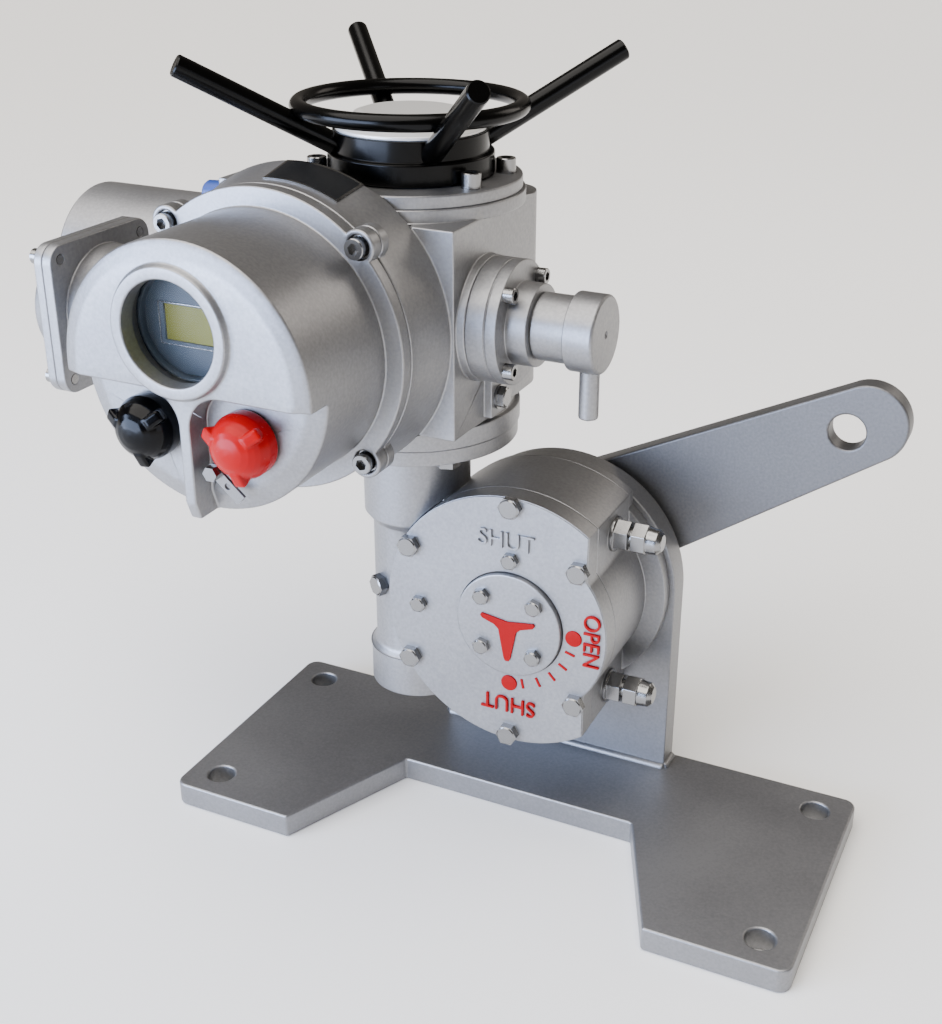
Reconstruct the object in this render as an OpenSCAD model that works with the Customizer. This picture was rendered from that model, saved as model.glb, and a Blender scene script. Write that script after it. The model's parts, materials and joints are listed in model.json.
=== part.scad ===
// Electric damper actuator: a motor drive with a top handwheel, standing on a
// quarter-turn worm gearbox that swings a lever behind a welded floor bracket.
// The origin is at the middle of the floor bolts, on the underside of the base.
// X runs to the right, Y runs to the back and Z runs up. Sizes are millimetres.
// At rest the damper is shut: the pointer points down and the lever to the right.

/* [Base bracket] */
// Width of the base plate
base_w = 562; // [540:2:600]
// Depth of the base plate
base_d = 235; // [230:1:250]
// Thickness of the base plate
base_t = 22; // [16:1:25]
// Corner radius of the base plate
base_corner_r = 11; // [4:1:18]
// Distance between the floor bolts along X
bolt_pitch_x = 500; // [480:2:510]
// Distance between the floor bolts along Y
bolt_pitch_y = 178; // [170:1:182]
// Diameter of the floor bolt holes
bolt_hole_d = 24; // [16:1:28]
// Width of the notch at the front edge
notch_front_w = 326; // [280:2:350]
// Width of the notch at its inner end
notch_back_w = 220; // [180:2:240]
// Depth of the notch
notch_d = 121; // [100:1:126]
// Width of the upright plate
upright_w = 218; // [216:1:230]
// Thickness of the upright plate
upright_t = 25; // [20:1:28]
// Leg of the weld beads
weld_leg = 9; // [6:0.5:10]

/* [Quarter turn gearbox] */
// Height of the lever shaft above the floor
gear_h = 200; // [195:1:215]
// Radius of the gearbox casing
case_r = 115; // [113:1:118]
// Radius of the smaller bulge on its right side
bulge_r = 86; // [84:1:90]
// Distance from the shaft to the flat right side
flat_x = 67.5; // [66:0.5:70]
// Wall of the gearbox casing
case_wall = 10; // [8:0.5:10.5]
// Front face of the gearbox cover
cover_front_y = -12; // [-14:0.5:-10]
// Thickness of the gearbox cover
cover_t = 20; // [18:0.5:21]
// Radius of the mounting flange on the upright
mount_flange_r = 104; // [100:1:107]
// Thickness of the mounting flange
mount_flange_t = 12; // [10:0.5:14]
// Module of the worm gearing
gear_m = 4.7; // [4.65:0.05:4.7]
// Teeth on a full wheel of the quadrant's size
gear_teeth = 40; // [40:1:40]
// Pitch diameter of the gearbox worm
worm_pitch_d = 32; // [31:0.5:33]
// Face width of the quadrant
quadrant_w = 40; // [30:1:46]
// Radius of the quadrant's hub and journals
hub_r = 42; // [40:0.5:43]
// Radius of the lever shaft
shaft_r = 27; // [24:0.5:27.5]
// Radius of the raised pointer disc
disc_r = 47; // [44:0.5:48]
// Height of the pointer disc above the cover
disc_rise = 4.5; // [3:0.5:6]
// Height of each stop bolt from the shaft, up and down
stop_dz = 73; // [71:0.5:74]

/* [Lever arm] */
// Distance from the shaft to the rod hole
lever_len = 284.5; // [240:0.5:288]
// Thickness of the lever
lever_t = 20; // [16:1:24]
// Angle of the lever above level when shut
lever_rest_deg = 35; // [32:1:38]
// Diameter of the rod hole
rod_hole_d = 30; // [20:1:34]
// Radius of the lever's tip
lever_tip_r = 33; // [30:0.5:36]
// Distance of the tip's middle beyond the rod hole
lever_tip_out = 17.8; // [10:0.2:18]
// Gap between the upright and the lever
lever_gap = 6; // [5:0.5:8]

/* [Drive casing] */
// Underside of the drive's base flange
drive_z = 353; // [350:1:356]
// Radius of the base flange
flange_r = 87.5; // [85:0.5:90]
// Thickness of the base flange
flange_t = 19.5; // [17:0.5:21]
// Thickness of the gearbox's input flange
input_flange_t = 13; // [11:0.5:15]
// Top of the gearcase
gearcase_top = 536; // [534:1:538]
// Half width of the gearcase along X
gearcase_hx = 79.5; // [78:0.5:81]
// Half depth of the gearcase along Y
gearcase_hy = 86.5; // [85:0.5:88]
// Radius of the electrical housing
drum_r = 116; // [114:0.5:118]
// Distance from the column to the electrical housing's axis
drum_dx = 46.3; // [45:0.5:48]
// Height of the electrical housing's axis
drum_z = 452.3; // [450:0.5:454]
// Front face of the electrical housing
drum_front_y = -99; // [-101:0.5:-97]

/* [Control cover] */
// Radius of the barrel
barrel_r = 101.3; // [100:0.5:103]
// Length from the joint face to the panel
barrel_len = 117; // [112:0.5:122]
// Wall of the barrel
barrel_wall = 7; // [5:0.5:8]
// Depth of the recesses that hold the knobs
recess_depth = 20; // [18:0.5:26]
// Width of the rib between the recesses
rib_w = 9; // [7:0.5:12]
// Radius of the window's raised rim
window_rim_r = 48; // [45:0.5:50]
// Radius of the clear window
window_r = 37.7; // [34:0.5:40]
// Radius over the lobes of a selector knob
knob_r = 26; // [23:0.5:27]

/* [Handwheel] */
// Radius of the handwheel's rim to the middle of its tube
rim_r = 86.5; // [80:0.5:95]
// Diameter of the rim's tube
rim_tube_d = 13; // [11:0.5:15]
// Height of the rim
rim_z = 608; // [604:1:612]
// Diameter of the four bars
bar_d = 17; // [14:0.5:18]
// Reach of the bars from the column
bar_reach = 176; // [150:1:200]
// Height of the bar ends
bar_end_z = 643; // [636:1:650]
// Angle of the first bar
bar_deg = 43; // [40:1:46]

/* [Motor and side drives] */
// Radius of the motor housing
motor_r = 70; // [66:0.5:72]
// Length of the motor housing
motor_len = 264; // [230:1:280]
// Distance from the column to the motor shaft
motor_dy = 60; // [60:0.5:60]
// Module of the motor's worm gearing
drive_m = 2.3; // [2.3:0.05:2.3]
// Teeth of the drive's worm wheel
drive_teeth = 40; // [40:1:40]
// Height of the hand drive lever's shaft
clutch_z = 458; // [456:0.5:460]
// Radius of the clutch housing's flange
clutch_flange_r = 49; // [47:0.5:50]
// Radius of the lever cap
clutch_cap_r = 30.4; // [29:0.5:32]
// Length of the hand drive lever's rod below the cap
clutch_rod_len = 38; // [30:1:50]

/* [Terminal box] */
// Outer face of the terminal cover's flange
terminal_x = -357; // [-362:1:-352]
// Half width of the terminal cover's flange
terminal_half = 61; // [59:0.5:63]
// Height of the terminal cover's dome
dome_h = 26; // [20:1:30]

/* [Clearances] */
// Radial clearance of running fits
run_fit = 0.05; // [0.02:0.01:0.1]
// Gap between parts that pass each other
pass_gap = 0.4; // [0.3:0.05:0.6]
// Radial clearance of screws in their holes
screw_fit = 0.3; // [0.2:0.05:0.5]
// Thickness of the flat gaskets
gasket_t = 1; // [0.8:0.1:1.5]

/* [Hidden] */
$fn = 64;
seat_gap = 0.02;

cast = [0.68, 0.7, 0.72];
dark_cast = [0.45, 0.46, 0.48];
steel = [0.75, 0.76, 0.78];
gloss_black = [0.05, 0.05, 0.06];
bronze = [0.72, 0.52, 0.28];
rubber = [0.08, 0.08, 0.08];
signal_red = [0.85, 0.06, 0.1];

// Worm gearing of the gearbox: the worm stands on the column's axis
wheel_pitch_r = gear_m * gear_teeth / 2;
column_x = -(wheel_pitch_r + worm_pitch_d / 2);
column_y = 35;
gear_lead = PI * gear_m;
worm_turns = 5;
wheel_tip_r = wheel_pitch_r + gear_m;
wheel_root_r = wheel_pitch_r - 1.25 * gear_m;
lead_deg = atan(gear_lead / (PI * worm_pitch_d));
thread_backlash = 0.5;

// Planes along Y that the gearbox shares with the bracket and the lever
base_back_y = base_d / 2;
upright_front_y = base_back_y - upright_t;
cover_back_y = cover_front_y + cover_t;
body_front_y = cover_back_y + gasket_t;
lever_front_y = base_back_y + lever_gap;
lever_back_y = lever_front_y + lever_t;
rear_wall_t = 14;
cavity_back_y = upright_front_y - rear_wall_t;
spigot_r = 56;
spigot_len = 12;
bush_t = 5;
bush_r = hub_r + run_fit + bush_t;
journal_back_y = upright_front_y + spigot_len - 5;
key_w = 16;
key_spans = [[cover_front_y + 5, journal_back_y - 1], [lever_front_y, lever_back_y]];
disc_front_y = cover_front_y - disc_rise;
disc_back_y = cover_front_y + 2;
mount_screw_r = 78;
mount_screws = [45, 135, 225, 315];
sink_r = 12.9;

// Cover bolts: four round the big radius and two beside the flat side
bolt_circle_r = case_r - 7.5;
side_bolt_x = 60;
side_bolt_z = 62;
bolt_boss_r = 8;
cover_bolt_r = 5;
deep_thread = 24;
short_thread = 7.4;
cover_bolt_at = concat(
    [for (a = [90, 270]) [bolt_circle_r * cos(a), bolt_circle_r * sin(a), deep_thread]],
    [for (a = [150, 210]) [bolt_circle_r * cos(a), bolt_circle_r * sin(a), short_thread]],
    [for (s = [-1, 1]) [side_bolt_x, s * side_bolt_z, deep_thread]]
);
cover_plug_at = [[-84.8, 0], [0, 59.4]];

// Gearbox worm tube, bearings and input flange
tube_r = 38.7;
tube_bore_r = worm_pitch_d / 2 + gear_m + 0.5;
bearing_od_r = 26;
bearing_id_r = 10;
end_cap_r = bearing_od_r + 4;
bearing_w = 15;
tube_bottom_z = gear_h - 101;
lower_bulge_r = 43.5;
lower_bulge_top = gear_h - 65;
worm_low_seat = tube_bottom_z + 11;
neck_r = 46;
neck_z = gear_h + 66;
input_flange_z = drive_z - input_flange_t;
worm_top_seat = input_flange_z - 22;
input_pcd_r = 70;
input_bolt_deg = [-41, 49, 139, 229];
input_bolt_r = 6;
worm_top_z = drive_z + 66;
drive_key_r = bearing_id_r - run_fit;

// Stop bolts
stop_y = column_y + 10;
stop_r = 8;
stop_tip_x = stop_dz * tan(20) + 2.4;
stop_nut_af = 24;

// Lever outline: two circles on a line that passes a little above the shaft
lever_root_r = 56;
lever_root = 23.3;
lever_rod_at = [lever_len * cos(lever_rest_deg), lever_len * sin(lever_rest_deg)];
lever_lift_deg = lever_rest_deg - 4.7;
lever_root_at = lever_root * [-sin(lever_lift_deg), cos(lever_lift_deg)];
lever_tip_at = lever_rod_at + lever_tip_out * [cos(lever_lift_deg), sin(lever_lift_deg)];
lever_hub_r = 60;

// Drive casing
column_r = 30;
sleeve_z = drive_z + 1;
sleeve_top = 586;
flange_top = drive_z + flange_t;
neck_top_z = gearcase_top + 10;
top_cover_z = neck_top_z;
top_cover_top = 556;
top_screw_r = 74;
top_washer_r = 8.1;
top_screw_deg = [-25, 25, 155, 205];
column_cavity_r = 62;
spigot_fit = 0.5;
gearcase_wall = 9;
gear_back_y = column_y + gearcase_hy;
gear_front_y = column_y - gearcase_hy;
gear_right_x = column_x + gearcase_hx;
gear_left_x = column_x - gearcase_hx;
earth_y = 13.5;
entry_neck = 8;
drum_x = column_x - drum_dx;
drum_back_r = drum_r + 7.5;
drum_pad_r = 78;
drum_cavity_r = drum_r - 14;
lug_seat_r = 9;
lug_wall = 4.7;
lug_r = barrel_r + lug_seat_r + lug_wall;
lug_deg = [45, 135, 225, 315];
entry_at = [drum_x - 71, gear_front_y + 13.2, drum_z + 88];
lug_screw_r = 6;

// Handwheel
hub_band_z = top_cover_top + 1;
hub_step_z = hub_band_z + 17;
hub_top_z = hub_step_z + 16;
hub_band_r = 65.4;
hub_upper_r = 61;
hub_journal_r = 48;
hub_bore_r = column_r + 3;
bar_root_r = 54;
bar_root_z = 577;
cap_low_z = hub_top_z + 8;
cap_top_z = 604;

// Motor
motor_y = column_y + motor_dy;
wheel_pitch = drive_m * drive_teeth / 2;
motor_worm_pitch_r = motor_dy - wheel_pitch;
motor_z = 430;
motor_neck = 22;
motor_x = gear_left_x - motor_neck;
motor_end_x = motor_x - motor_len;
drive_lead = PI * drive_m;
drive_lead_deg = atan(drive_lead / (2 * PI * motor_worm_pitch_r));
drive_turns = 8;
drive_w = 20;
rotor_r = 34;
motor_shaft_r = 8.5;
motor_bore_r = 17.5;

// Clutch ring, its dogs and the shift shaft
ring_r = 46;
dog_h = 4;
dog_count = 6;
shift_swing = 36;
shift_pin_r = 4;
shift_arm = 14;
clutch_y = 0;
groove_z = clutch_z + shift_arm * sin(shift_swing / 2);
groove_h = 2 * shift_pin_r + 1;
ring_travel = 2 * shift_arm * sin(shift_swing / 2);
ring_low_z = motor_z + drive_w / 2 + dog_h + pass_gap + ring_travel;
ring_top_z = groove_z + groove_h / 2 + 6;
hub_bottom_z = ring_top_z + dog_h + pass_gap;
clutch_face_x = gear_right_x + 32;
clutch_neck_x = clutch_face_x + 18;
clutch_body_x = clutch_neck_x + 27;
clutch_end_x = clutch_body_x + 24;
shift_r = 9;

// Control cover
barrel_front_y = drum_front_y - gasket_t - barrel_len;
barrel_flange_t = 12;
barrel_flange_y = drum_front_y - gasket_t - barrel_flange_t;
panel_chamfer = 5;
panel_inner_r = 87;
floor_y = barrel_front_y + recess_depth;
floor_r = 84;
floor_slope = 6;
recess_top = drum_z - 5.3;
window_at = [drum_x - 4, drum_z + 37.7];
knob_dx = 40.4;
knob_z = drum_z - 40;
knob_shaft_r = 5;
knob_shaft_len = 11;
knob_base = 11;
knob_taper = 6;
knob_dome = 12;
knob_top_r = knob_r - 4;
knob_lobe_deg = [38, 158, 278];
recess_fillet = 26;
lug_seat = 5;
front_wall = 18;
wall_back_y = barrel_front_y + front_wall;
glass_y = barrel_front_y + 9;
glass_lip = 3.5;
well_back_y = wall_back_y + 2;
display_y = barrel_front_y + 24;
panel_at = [-23, -15];
panel_size = [56, 26.5];
board_back_y = drum_front_y - 10;
board_front_y = drum_front_y - 42;
board_post_deg = [30, 150, 270];
board_post_at = 80;
display_rim_r = window_r + 14;
lock_at = [drum_x + knob_dx - 25, knob_z - 24];
lock_screw_r = 3;
lock_tab_lift = 8;

// Terminal box
terminal_y = -66;
terminal_z = 444.5;
terminal_r = 50;
terminal_bolt = 49.2;
terminal_cover_t = 8;
terminal_base_x = terminal_x + terminal_cover_t;
terminal_flange_t = 9;

// A circle-cornered rectangle centred on its own middle
module round_rect(w, d, r) {
    square([w - 2 * r, d], center = true);
    square([w, d - 2 * r], center = true);
    for (x = [-1, 1]) for (y = [-1, 1])
        translate([x * (w / 2 - r), y * (d / 2 - r)]) circle(r);
}

// Extrudes an X-Z outline between two planes of Y
module along_y(y0, y1) {
    translate([0, y1, 0]) rotate([90, 0, 0]) linear_extrude(y1 - y0) children();
}

// The same, for an outline drawn round the gearbox's shaft
module at_gear(y0, y1) {
    translate([0, 0, gear_h]) along_y(y0, y1) children();
}

// Turns children so that their Z axis points along +X
module along_x(x) {
    translate([x, 0, 0]) rotate([0, 90, 0]) children();
}

// Hexagon prism of a given size across its flats
module hex_prism(af, h) {
    cylinder(r = af / 2 / cos(30), h = h, $fn = 6);
}

// Hexagon screw with its head's seat at zero, the shank going down
module hex_screw(r, length, af, head) {
    hex_prism(af, head - 0.8);
    translate([0, 0, head - 0.8]) cylinder(r1 = af / 2, r2 = af / 2 - 1, h = 0.8);
    translate([0, 0, -length]) cylinder(r = r, h = length);
}

// Socket screw with its head's seat at zero, the shank going down
module socket_screw(r, length) {
    difference() {
        union() {
            cylinder(r = 1.55 * r, h = 2 * r - 0.6);
            translate([0, 0, 2 * r - 0.6]) cylinder(r1 = 1.55 * r, r2 = 1.55 * r - 0.6, h = 0.6);
        }
        translate([0, 0, r]) hex_prism(1.6 * r, r + 1);
    }
    translate([0, 0, -length]) cylinder(r = r, h = length);
}

// Ring with its lower face at zero
module ring(outer, inner, h) {
    difference() {
        cylinder(r = outer, h = h);
        translate([0, 0, -1]) cylinder(r = inner, h = h + 2);
    }
}

// Shielded ball bearing with the race grooves on both faces
module bearing(outer, inner, w) {
    step = (outer - inner) / 4;
    rotate_extrude() difference() {
        translate([inner, 0]) square([outer - inner, w]);
        translate([inner + step, -1]) square([2 * step, 1.8]);
        translate([inner + step, w - 0.8]) square([2 * step, 1.8]);
    }
}

// Cross-section of a single-start worm: the crest faces +X
function thread_radius(a, pitch_r, m, slack) =
    let (
        away = abs(a > 180 ? a - 360 : a) / 360 * PI * m,
        half_mid = PI * m / 4 - slack / 2,
        crest = half_mid - m * tan(20),
        root = half_mid + 1.2 * m * tan(20)
    )
    away <= crest ? pitch_r + m :
    away >= root ? pitch_r - 1.2 * m :
    pitch_r + m - (away - crest) / tan(20);

// Worm thread with its core, from zero up, crest facing +X at whole turns
module worm_thread(pitch_r, m, turns, slack) {
    half_mid = PI * m / 4 - slack / 2;
    crest_deg = (half_mid - m * tan(20)) / (PI * m) * 360;
    root_deg = (half_mid + 1.2 * m * tan(20)) / (PI * m) * 360;
    angles = [
        0, crest_deg / 2, crest_deg, root_deg,
        for (i = [1:5]) root_deg + i * (360 - 2 * root_deg) / 6,
        360 - root_deg, 360 - crest_deg, 360 - crest_deg / 2
    ];
    linear_extrude(turns * PI * m, twist = -360 * turns, slices = 16 * turns, $fn = 12)
        polygon([for (a = angles) thread_radius(a, pitch_r, m, slack) * [cos(a), sin(a)]]);
}

// One wheel tooth along +X, leaning by the worm's lead angle
module wheel_tooth(pitch_r, m, width, lean) {
    half = PI * m / 4 - 0.12 * m;
    top = half - m * tan(20);
    low = half + 1.35 * m * tan(20);
    rotate([lean, 0, 0]) translate([0, 0, -width / 2]) linear_extrude(width)
        polygon([
            [pitch_r - 1.35 * m, -low], [pitch_r + m, -top],
            [pitch_r + m, top], [pitch_r - 1.35 * m, low]
        ]);
}

// Washer with a socket screw on it, seated at zero
module washer_and_screw(r, length, washer_r, washer_h) {
    ring(washer_r, r + screw_fit, washer_h);
    translate([0, 0, washer_h + seat_gap]) socket_screw(r, length + washer_h);
}

// Outline of the gearbox casing, grown or shrunk by a step
module case_outline(step = 0) {
    intersection() {
        circle(case_r + step);
        translate([-200, -200]) square([200 + flat_x + step, 400]);
    }
    circle(bulge_r + step);
}

module base_plate() {
    color(dark_cast) linear_extrude(base_t) difference() {
        round_rect(base_w, base_d, base_corner_r);
        for (x = [-1, 1]) for (y = [-1, 1])
            translate([x * bolt_pitch_x / 2, y * bolt_pitch_y / 2]) circle(bolt_hole_d / 2);
        polygon([
            [-notch_front_w / 2 - 1, -base_d / 2 - 2], [notch_front_w / 2 + 1, -base_d / 2 - 2],
            [notch_back_w / 2, notch_d - base_d / 2], [-notch_back_w / 2, notch_d - base_d / 2]
        ]);
    }
}

module upright_plate() {
    color(dark_cast) difference() {
        at_gear(upright_front_y, base_back_y) {
            circle(upright_w / 2);
            translate([-upright_w / 2, base_t - gear_h]) square([upright_w, gear_h - base_t]);
        }
        at_gear(upright_front_y - 1, base_back_y + 1) circle(spigot_r + pass_gap / 2);
        for (a = mount_screws) at_mount(a) {
            translate([0, 0, -40]) cylinder(r = lug_screw_r + screw_fit, h = 60);
            translate([0, 0, -7]) cylinder(r1 = lug_screw_r + screw_fit, r2 = sink_r + 1.3, h = 7.5);
        }
    }
}

// Places children on a screw that holds the gearbox, at the upright's back
module at_mount(a) {
    translate([mount_screw_r * cos(a), base_back_y, gear_h + mount_screw_r * sin(a)])
        rotate([-90, 0, 0]) children();
}

module weld_beads() {
    color(dark_cast) {
        translate([-upright_w / 2, upright_front_y, base_t]) rotate([90, 0, 90])
            linear_extrude(upright_w) polygon([[0, 0], [-weld_leg, 0], [0, weld_leg]]);
        for (side = [0, 1]) mirror([side, 0, 0])
            translate([upright_w / 2, base_back_y, base_t]) rotate([90, 0, 0])
                linear_extrude(upright_t) polygon([[0, 0], [weld_leg, 0], [0, weld_leg]]);
    }
}

module gearbox_housing() {
    color(cast) difference() {
        union() {
            at_gear(body_front_y, upright_front_y - mount_flange_t) case_outline();
            at_gear(upright_front_y - mount_flange_t, upright_front_y) {
                case_outline(-1);
                intersection() {
                    circle(mount_flange_r);
                    translate([20, -80]) square([100, 160]);
                }
            }
            at_gear(upright_front_y - 1, upright_front_y + spigot_len) circle(spigot_r);
            translate([column_x, column_y, 0]) {
                translate([0, 0, tube_bottom_z]) cylinder(r = lower_bulge_r, h = 36);
                translate([0, 0, lower_bulge_top - 0.1])
                    cylinder(r1 = lower_bulge_r, r2 = tube_r, h = 7);
                translate([0, 0, lower_bulge_top]) cylinder(r = tube_r, h = neck_z - lower_bulge_top);
                translate([0, 0, neck_z - 8]) cylinder(r1 = tube_r, r2 = neck_r, h = 10);
                translate([0, 0, neck_z + 2]) cylinder(r = neck_r, h = input_flange_z - neck_z - 1);
                translate([0, 0, input_flange_z]) cylinder(r = flange_r - 1.5, h = input_flange_t);
            }
            for (s = [-1, 1]) translate([flat_x - 12, stop_y, gear_h + s * stop_dz])
                rotate([0, 90, 0]) cylinder(r = 15, h = 12.5);
        }
        difference() {
            at_gear(body_front_y - 1, cavity_back_y) case_outline(-case_wall);
            for (at = cover_bolt_at) translate([at[0], 0, at[1]])
                at_gear(body_front_y - 2, body_front_y + at[2] + 8) circle(bolt_boss_r);
        }
        at_gear(cavity_back_y - 1, journal_back_y) circle(bush_r);
        at_gear(journal_back_y - 1, upright_front_y + spigot_len + 1) circle(hub_r + 2.5);
        for (at = cover_bolt_at) translate([at[0], 0, at[1]])
            at_gear(body_front_y - 1, body_front_y + at[2]) circle(cover_bolt_r);
        at_gear(cover_front_y - 8, body_front_y) case_outline(pass_gap);
        for (a = mount_screws) at_mount(a)
            translate([0, 0, -upright_t - 13]) cylinder(r = lug_screw_r, h = 16);
        translate([column_x, column_y, 0]) {
            translate([0, 0, tube_bottom_z - 1]) cylinder(r = end_cap_r, h = 12);
            translate([0, 0, worm_low_seat - 1]) cylinder(r = bearing_od_r, h = bearing_w + 2);
            translate([0, 0, worm_low_seat + bearing_w])
                cylinder(r = tube_bore_r, h = worm_top_seat - worm_low_seat - bearing_w);
            translate([0, 0, worm_top_seat - 1]) cylinder(r = bearing_od_r, h = bearing_w + 1);
            translate([0, 0, worm_top_seat + bearing_w - 1]) cylinder(r = 22, h = 40);
            for (a = input_bolt_deg) rotate(a) translate([input_pcd_r, 0, input_flange_z - 1])
                cylinder(r = input_bolt_r + screw_fit, h = input_flange_t + 2);
        }
        for (s = [-1, 1]) translate([flat_x - 20, stop_y, gear_h + s * stop_dz])
            rotate([0, 90, 0]) cylinder(r = stop_r, h = 24);
        plug_place() translate([0, 0, -14]) cylinder(r = 6, h = 20);
    }
}

// Filler plug on the front of the worm tube
module plug_place() {
    translate([column_x, column_y, gear_h + 2]) rotate([90, 0, -28])
        translate([0, 0, tube_r - 1]) children();
}

module gearbox_cover() {
    color(cast) difference() {
        union() {
            at_gear(cover_front_y + 1, cover_back_y) case_outline();
            at_gear(cover_front_y, cover_front_y + 1) case_outline(-0.8);
        }
        at_gear(cover_front_y - 1, disc_back_y) circle(disc_r + 0.8);
        at_gear(disc_back_y - 1, cover_back_y + 1) circle(bush_r);
        for (at = cover_bolt_at) translate([at[0], 0, at[1]])
            at_gear(cover_front_y - 1, cover_back_y + 1) circle(cover_bolt_r + screw_fit);
        for (at = cover_plug_at) translate([at[0], 0, at[1]])
            at_gear(cover_front_y - 1, cover_front_y + 12) circle(4);
    }
}

module cover_gasket() {
    color(rubber) at_gear(cover_back_y, body_front_y) difference() {
        case_outline(-0.5);
        case_outline(0.5 - case_wall);
        for (at = cover_bolt_at) translate([at[0], at[1]]) circle(cover_bolt_r + screw_fit);
    }
}

module cover_bolts() {
    color(steel) for (at = cover_bolt_at)
        translate([at[0], cover_front_y, gear_h + at[1]]) rotate([90, 0, 0])
            hex_screw(cover_bolt_r, cover_t + gasket_t + at[2] - 0.6, 17, 7);
}

module grease_plugs() {
    color(steel) {
        for (at = cover_plug_at)
            translate([at[0], cover_front_y, gear_h + at[1]]) rotate([90, 0, 0])
                hex_screw(4, 11, 13, 6);
        plug_place() translate([0, 0, 1]) hex_screw(6, 10, 17, 8);
    }
}

module mounting_screws() {
    color(steel) for (a = mount_screws) at_mount(a) difference() {
        union() {
            translate([0, 0, -7]) cylinder(r1 = lug_screw_r, r2 = sink_r, h = 6.6);
            translate([0, 0, -upright_t - 10]) cylinder(r = lug_screw_r, h = upright_t + 4);
        }
        translate([0, 0, -4.5]) hex_prism(8, 6);
    }
}

module shaft_bushes() {
    color(bronze) at_gear(disc_back_y + 1.5, cover_back_y) difference() {
        circle(bush_r);
        circle(hub_r + run_fit);
    }
    color(bronze) at_gear(cavity_back_y, journal_back_y) difference() {
        circle(bush_r);
        circle(hub_r + run_fit);
    }
}

module shaft_seal() {
    color(rubber) at_gear(journal_back_y, upright_front_y + spigot_len) difference() {
        circle(hub_r + 2.5);
        circle(shaft_r + 0.3);
    }
}

module worm_quadrant() {
    color(bronze) difference() {
        union() {
            at_gear(disc_back_y + pass_gap / 2, journal_back_y - 0.5) circle(hub_r);
            at_gear(column_y - quadrant_w / 2, column_y + quadrant_w / 2) intersection() {
                circle(wheel_root_r);
                polygon([
                    [0, 0], 160 * [cos(70), sin(70)], 160 * [cos(100), sin(100)],
                    160 * [cos(135), sin(135)], 160 * [cos(170), sin(170)], 160 * [cos(200), sin(200)]
                ]);
            }
            translate([0, column_y, gear_h]) rotate([90, 0, 0])
                for (k = [-2:11]) rotate([0, 0, 180 - (k + 0.5) * 360 / gear_teeth])
                    wheel_tooth(wheel_pitch_r, gear_m, quadrant_w, -lead_deg);
        }
        at_gear(disc_back_y - 1, journal_back_y + 1) {
            circle(shaft_r);
            translate([-key_w / 2, 0]) square([key_w, shaft_r + 5]);
        }
        for (a = [45:90:315]) translate([0, 0, gear_h]) rotate([0, -a, 0])
            translate([33.4, disc_back_y + 20, 0]) rotate([90, 0, 0]) cylinder(r = 4, h = 24);
    }
}

module lever_shaft() {
    color(steel) difference() {
        at_gear(disc_back_y + pass_gap / 2, lever_back_y + 0.5) circle(shaft_r);
        for (span = key_spans) at_gear(span[0], span[1] + 0.6)
            translate([-key_w / 2, shaft_r - 5]) square([key_w, 12]);
        at_gear(lever_back_y - 34, lever_back_y + 1) circle(8);
    }
}

module shaft_keys() {
    color(steel) for (span = key_spans) at_gear(span[0], span[1])
        translate([0.1 - key_w / 2, shaft_r - 4.9]) square([key_w - 0.2, 9.6]);
}

// Straight sides that touch two circles
module tapered_bar(a, ra, b, rb) {
    run = b - a;
    length = norm(run);
    heading = atan2(run[1], run[0]);
    lean = acos((ra - rb) / length);
    inner_a = ra - 0.1;
    inner_b = rb - 0.1;
    polygon([
        a + inner_a * [cos(heading - lean), sin(heading - lean)],
        b + inner_b * [cos(heading - lean), sin(heading - lean)],
        b + inner_b * [cos(heading + lean), sin(heading + lean)],
        a + inner_a * [cos(heading + lean), sin(heading + lean)]
    ]);
}

module lever_arm() {
    color(dark_cast) at_gear(lever_front_y, lever_back_y) difference() {
        union() {
            tapered_bar(lever_root_at, lever_root_r, lever_tip_at, lever_tip_r);
            translate(lever_root_at) circle(lever_root_r);
            translate(lever_tip_at) circle(lever_tip_r);
            circle(lever_hub_r);
        }
        circle(shaft_r);
        translate([-key_w / 2, 0]) square([key_w, shaft_r + 5]);
        translate(lever_rod_at) circle(rod_hole_d / 2);
    }
}

module lever_retainer() {
    color(steel) translate([0, lever_back_y + 0.5, gear_h]) rotate([-90, 0, 0]) {
        ring(shaft_r + 11, 8.5, 6);
        translate([0, 0, 6 + seat_gap]) hex_screw(8, 34, 24, 10);
    }
}

module pointer_disc() {
    color(cast) difference() {
        union() {
            at_gear(disc_front_y + 0.8, disc_back_y) circle(disc_r);
            translate([0, disc_front_y + 0.8, gear_h]) rotate([90, 0, 0])
                cylinder(r1 = disc_r, r2 = disc_r - 0.8, h = 0.8);
        }
        for (a = [45:90:315]) translate([0, 0, gear_h]) rotate([0, -a, 0])
            translate([33.4, disc_back_y + 1, 0]) rotate([90, 0, 0]) cylinder(r = 4, h = 20);
    }
}

module pointer_arrow() {
    color(signal_red) at_gear(disc_front_y - 1.6, disc_front_y) {
        polygon([
            [-1.8, -33], [1.8, -33], [3.2, -30], [8.2, -4], [12, -0.5], [23, 3.2],
            [25, 6], [23.5, 8], [0, 4.5], [-23.5, 8], [-25, 6], [-23, 3.2], [-12, -0.5],
            [-8.2, -4], [-3.2, -30]
        ]);
    }
}

module pointer_screws() {
    color(steel) for (a = [45:90:315]) translate([0, 0, gear_h]) rotate([0, -a, 0])
        translate([33.4, disc_front_y, 0]) rotate([90, 0, 0]) hex_screw(4, 22, 13, 5.5);
}

module stop_screws() {
    color(steel) for (s = [-1, 1]) translate([0, stop_y, gear_h + s * stop_dz])
        rotate([0, 90, 0]) {
            translate([0, 0, stop_tip_x + 4]) cylinder(r = stop_r, h = 92 - stop_tip_x - 4);
            translate([0, 0, stop_tip_x]) cylinder(r1 = 5, r2 = stop_r, h = 4);
        }
}

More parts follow.
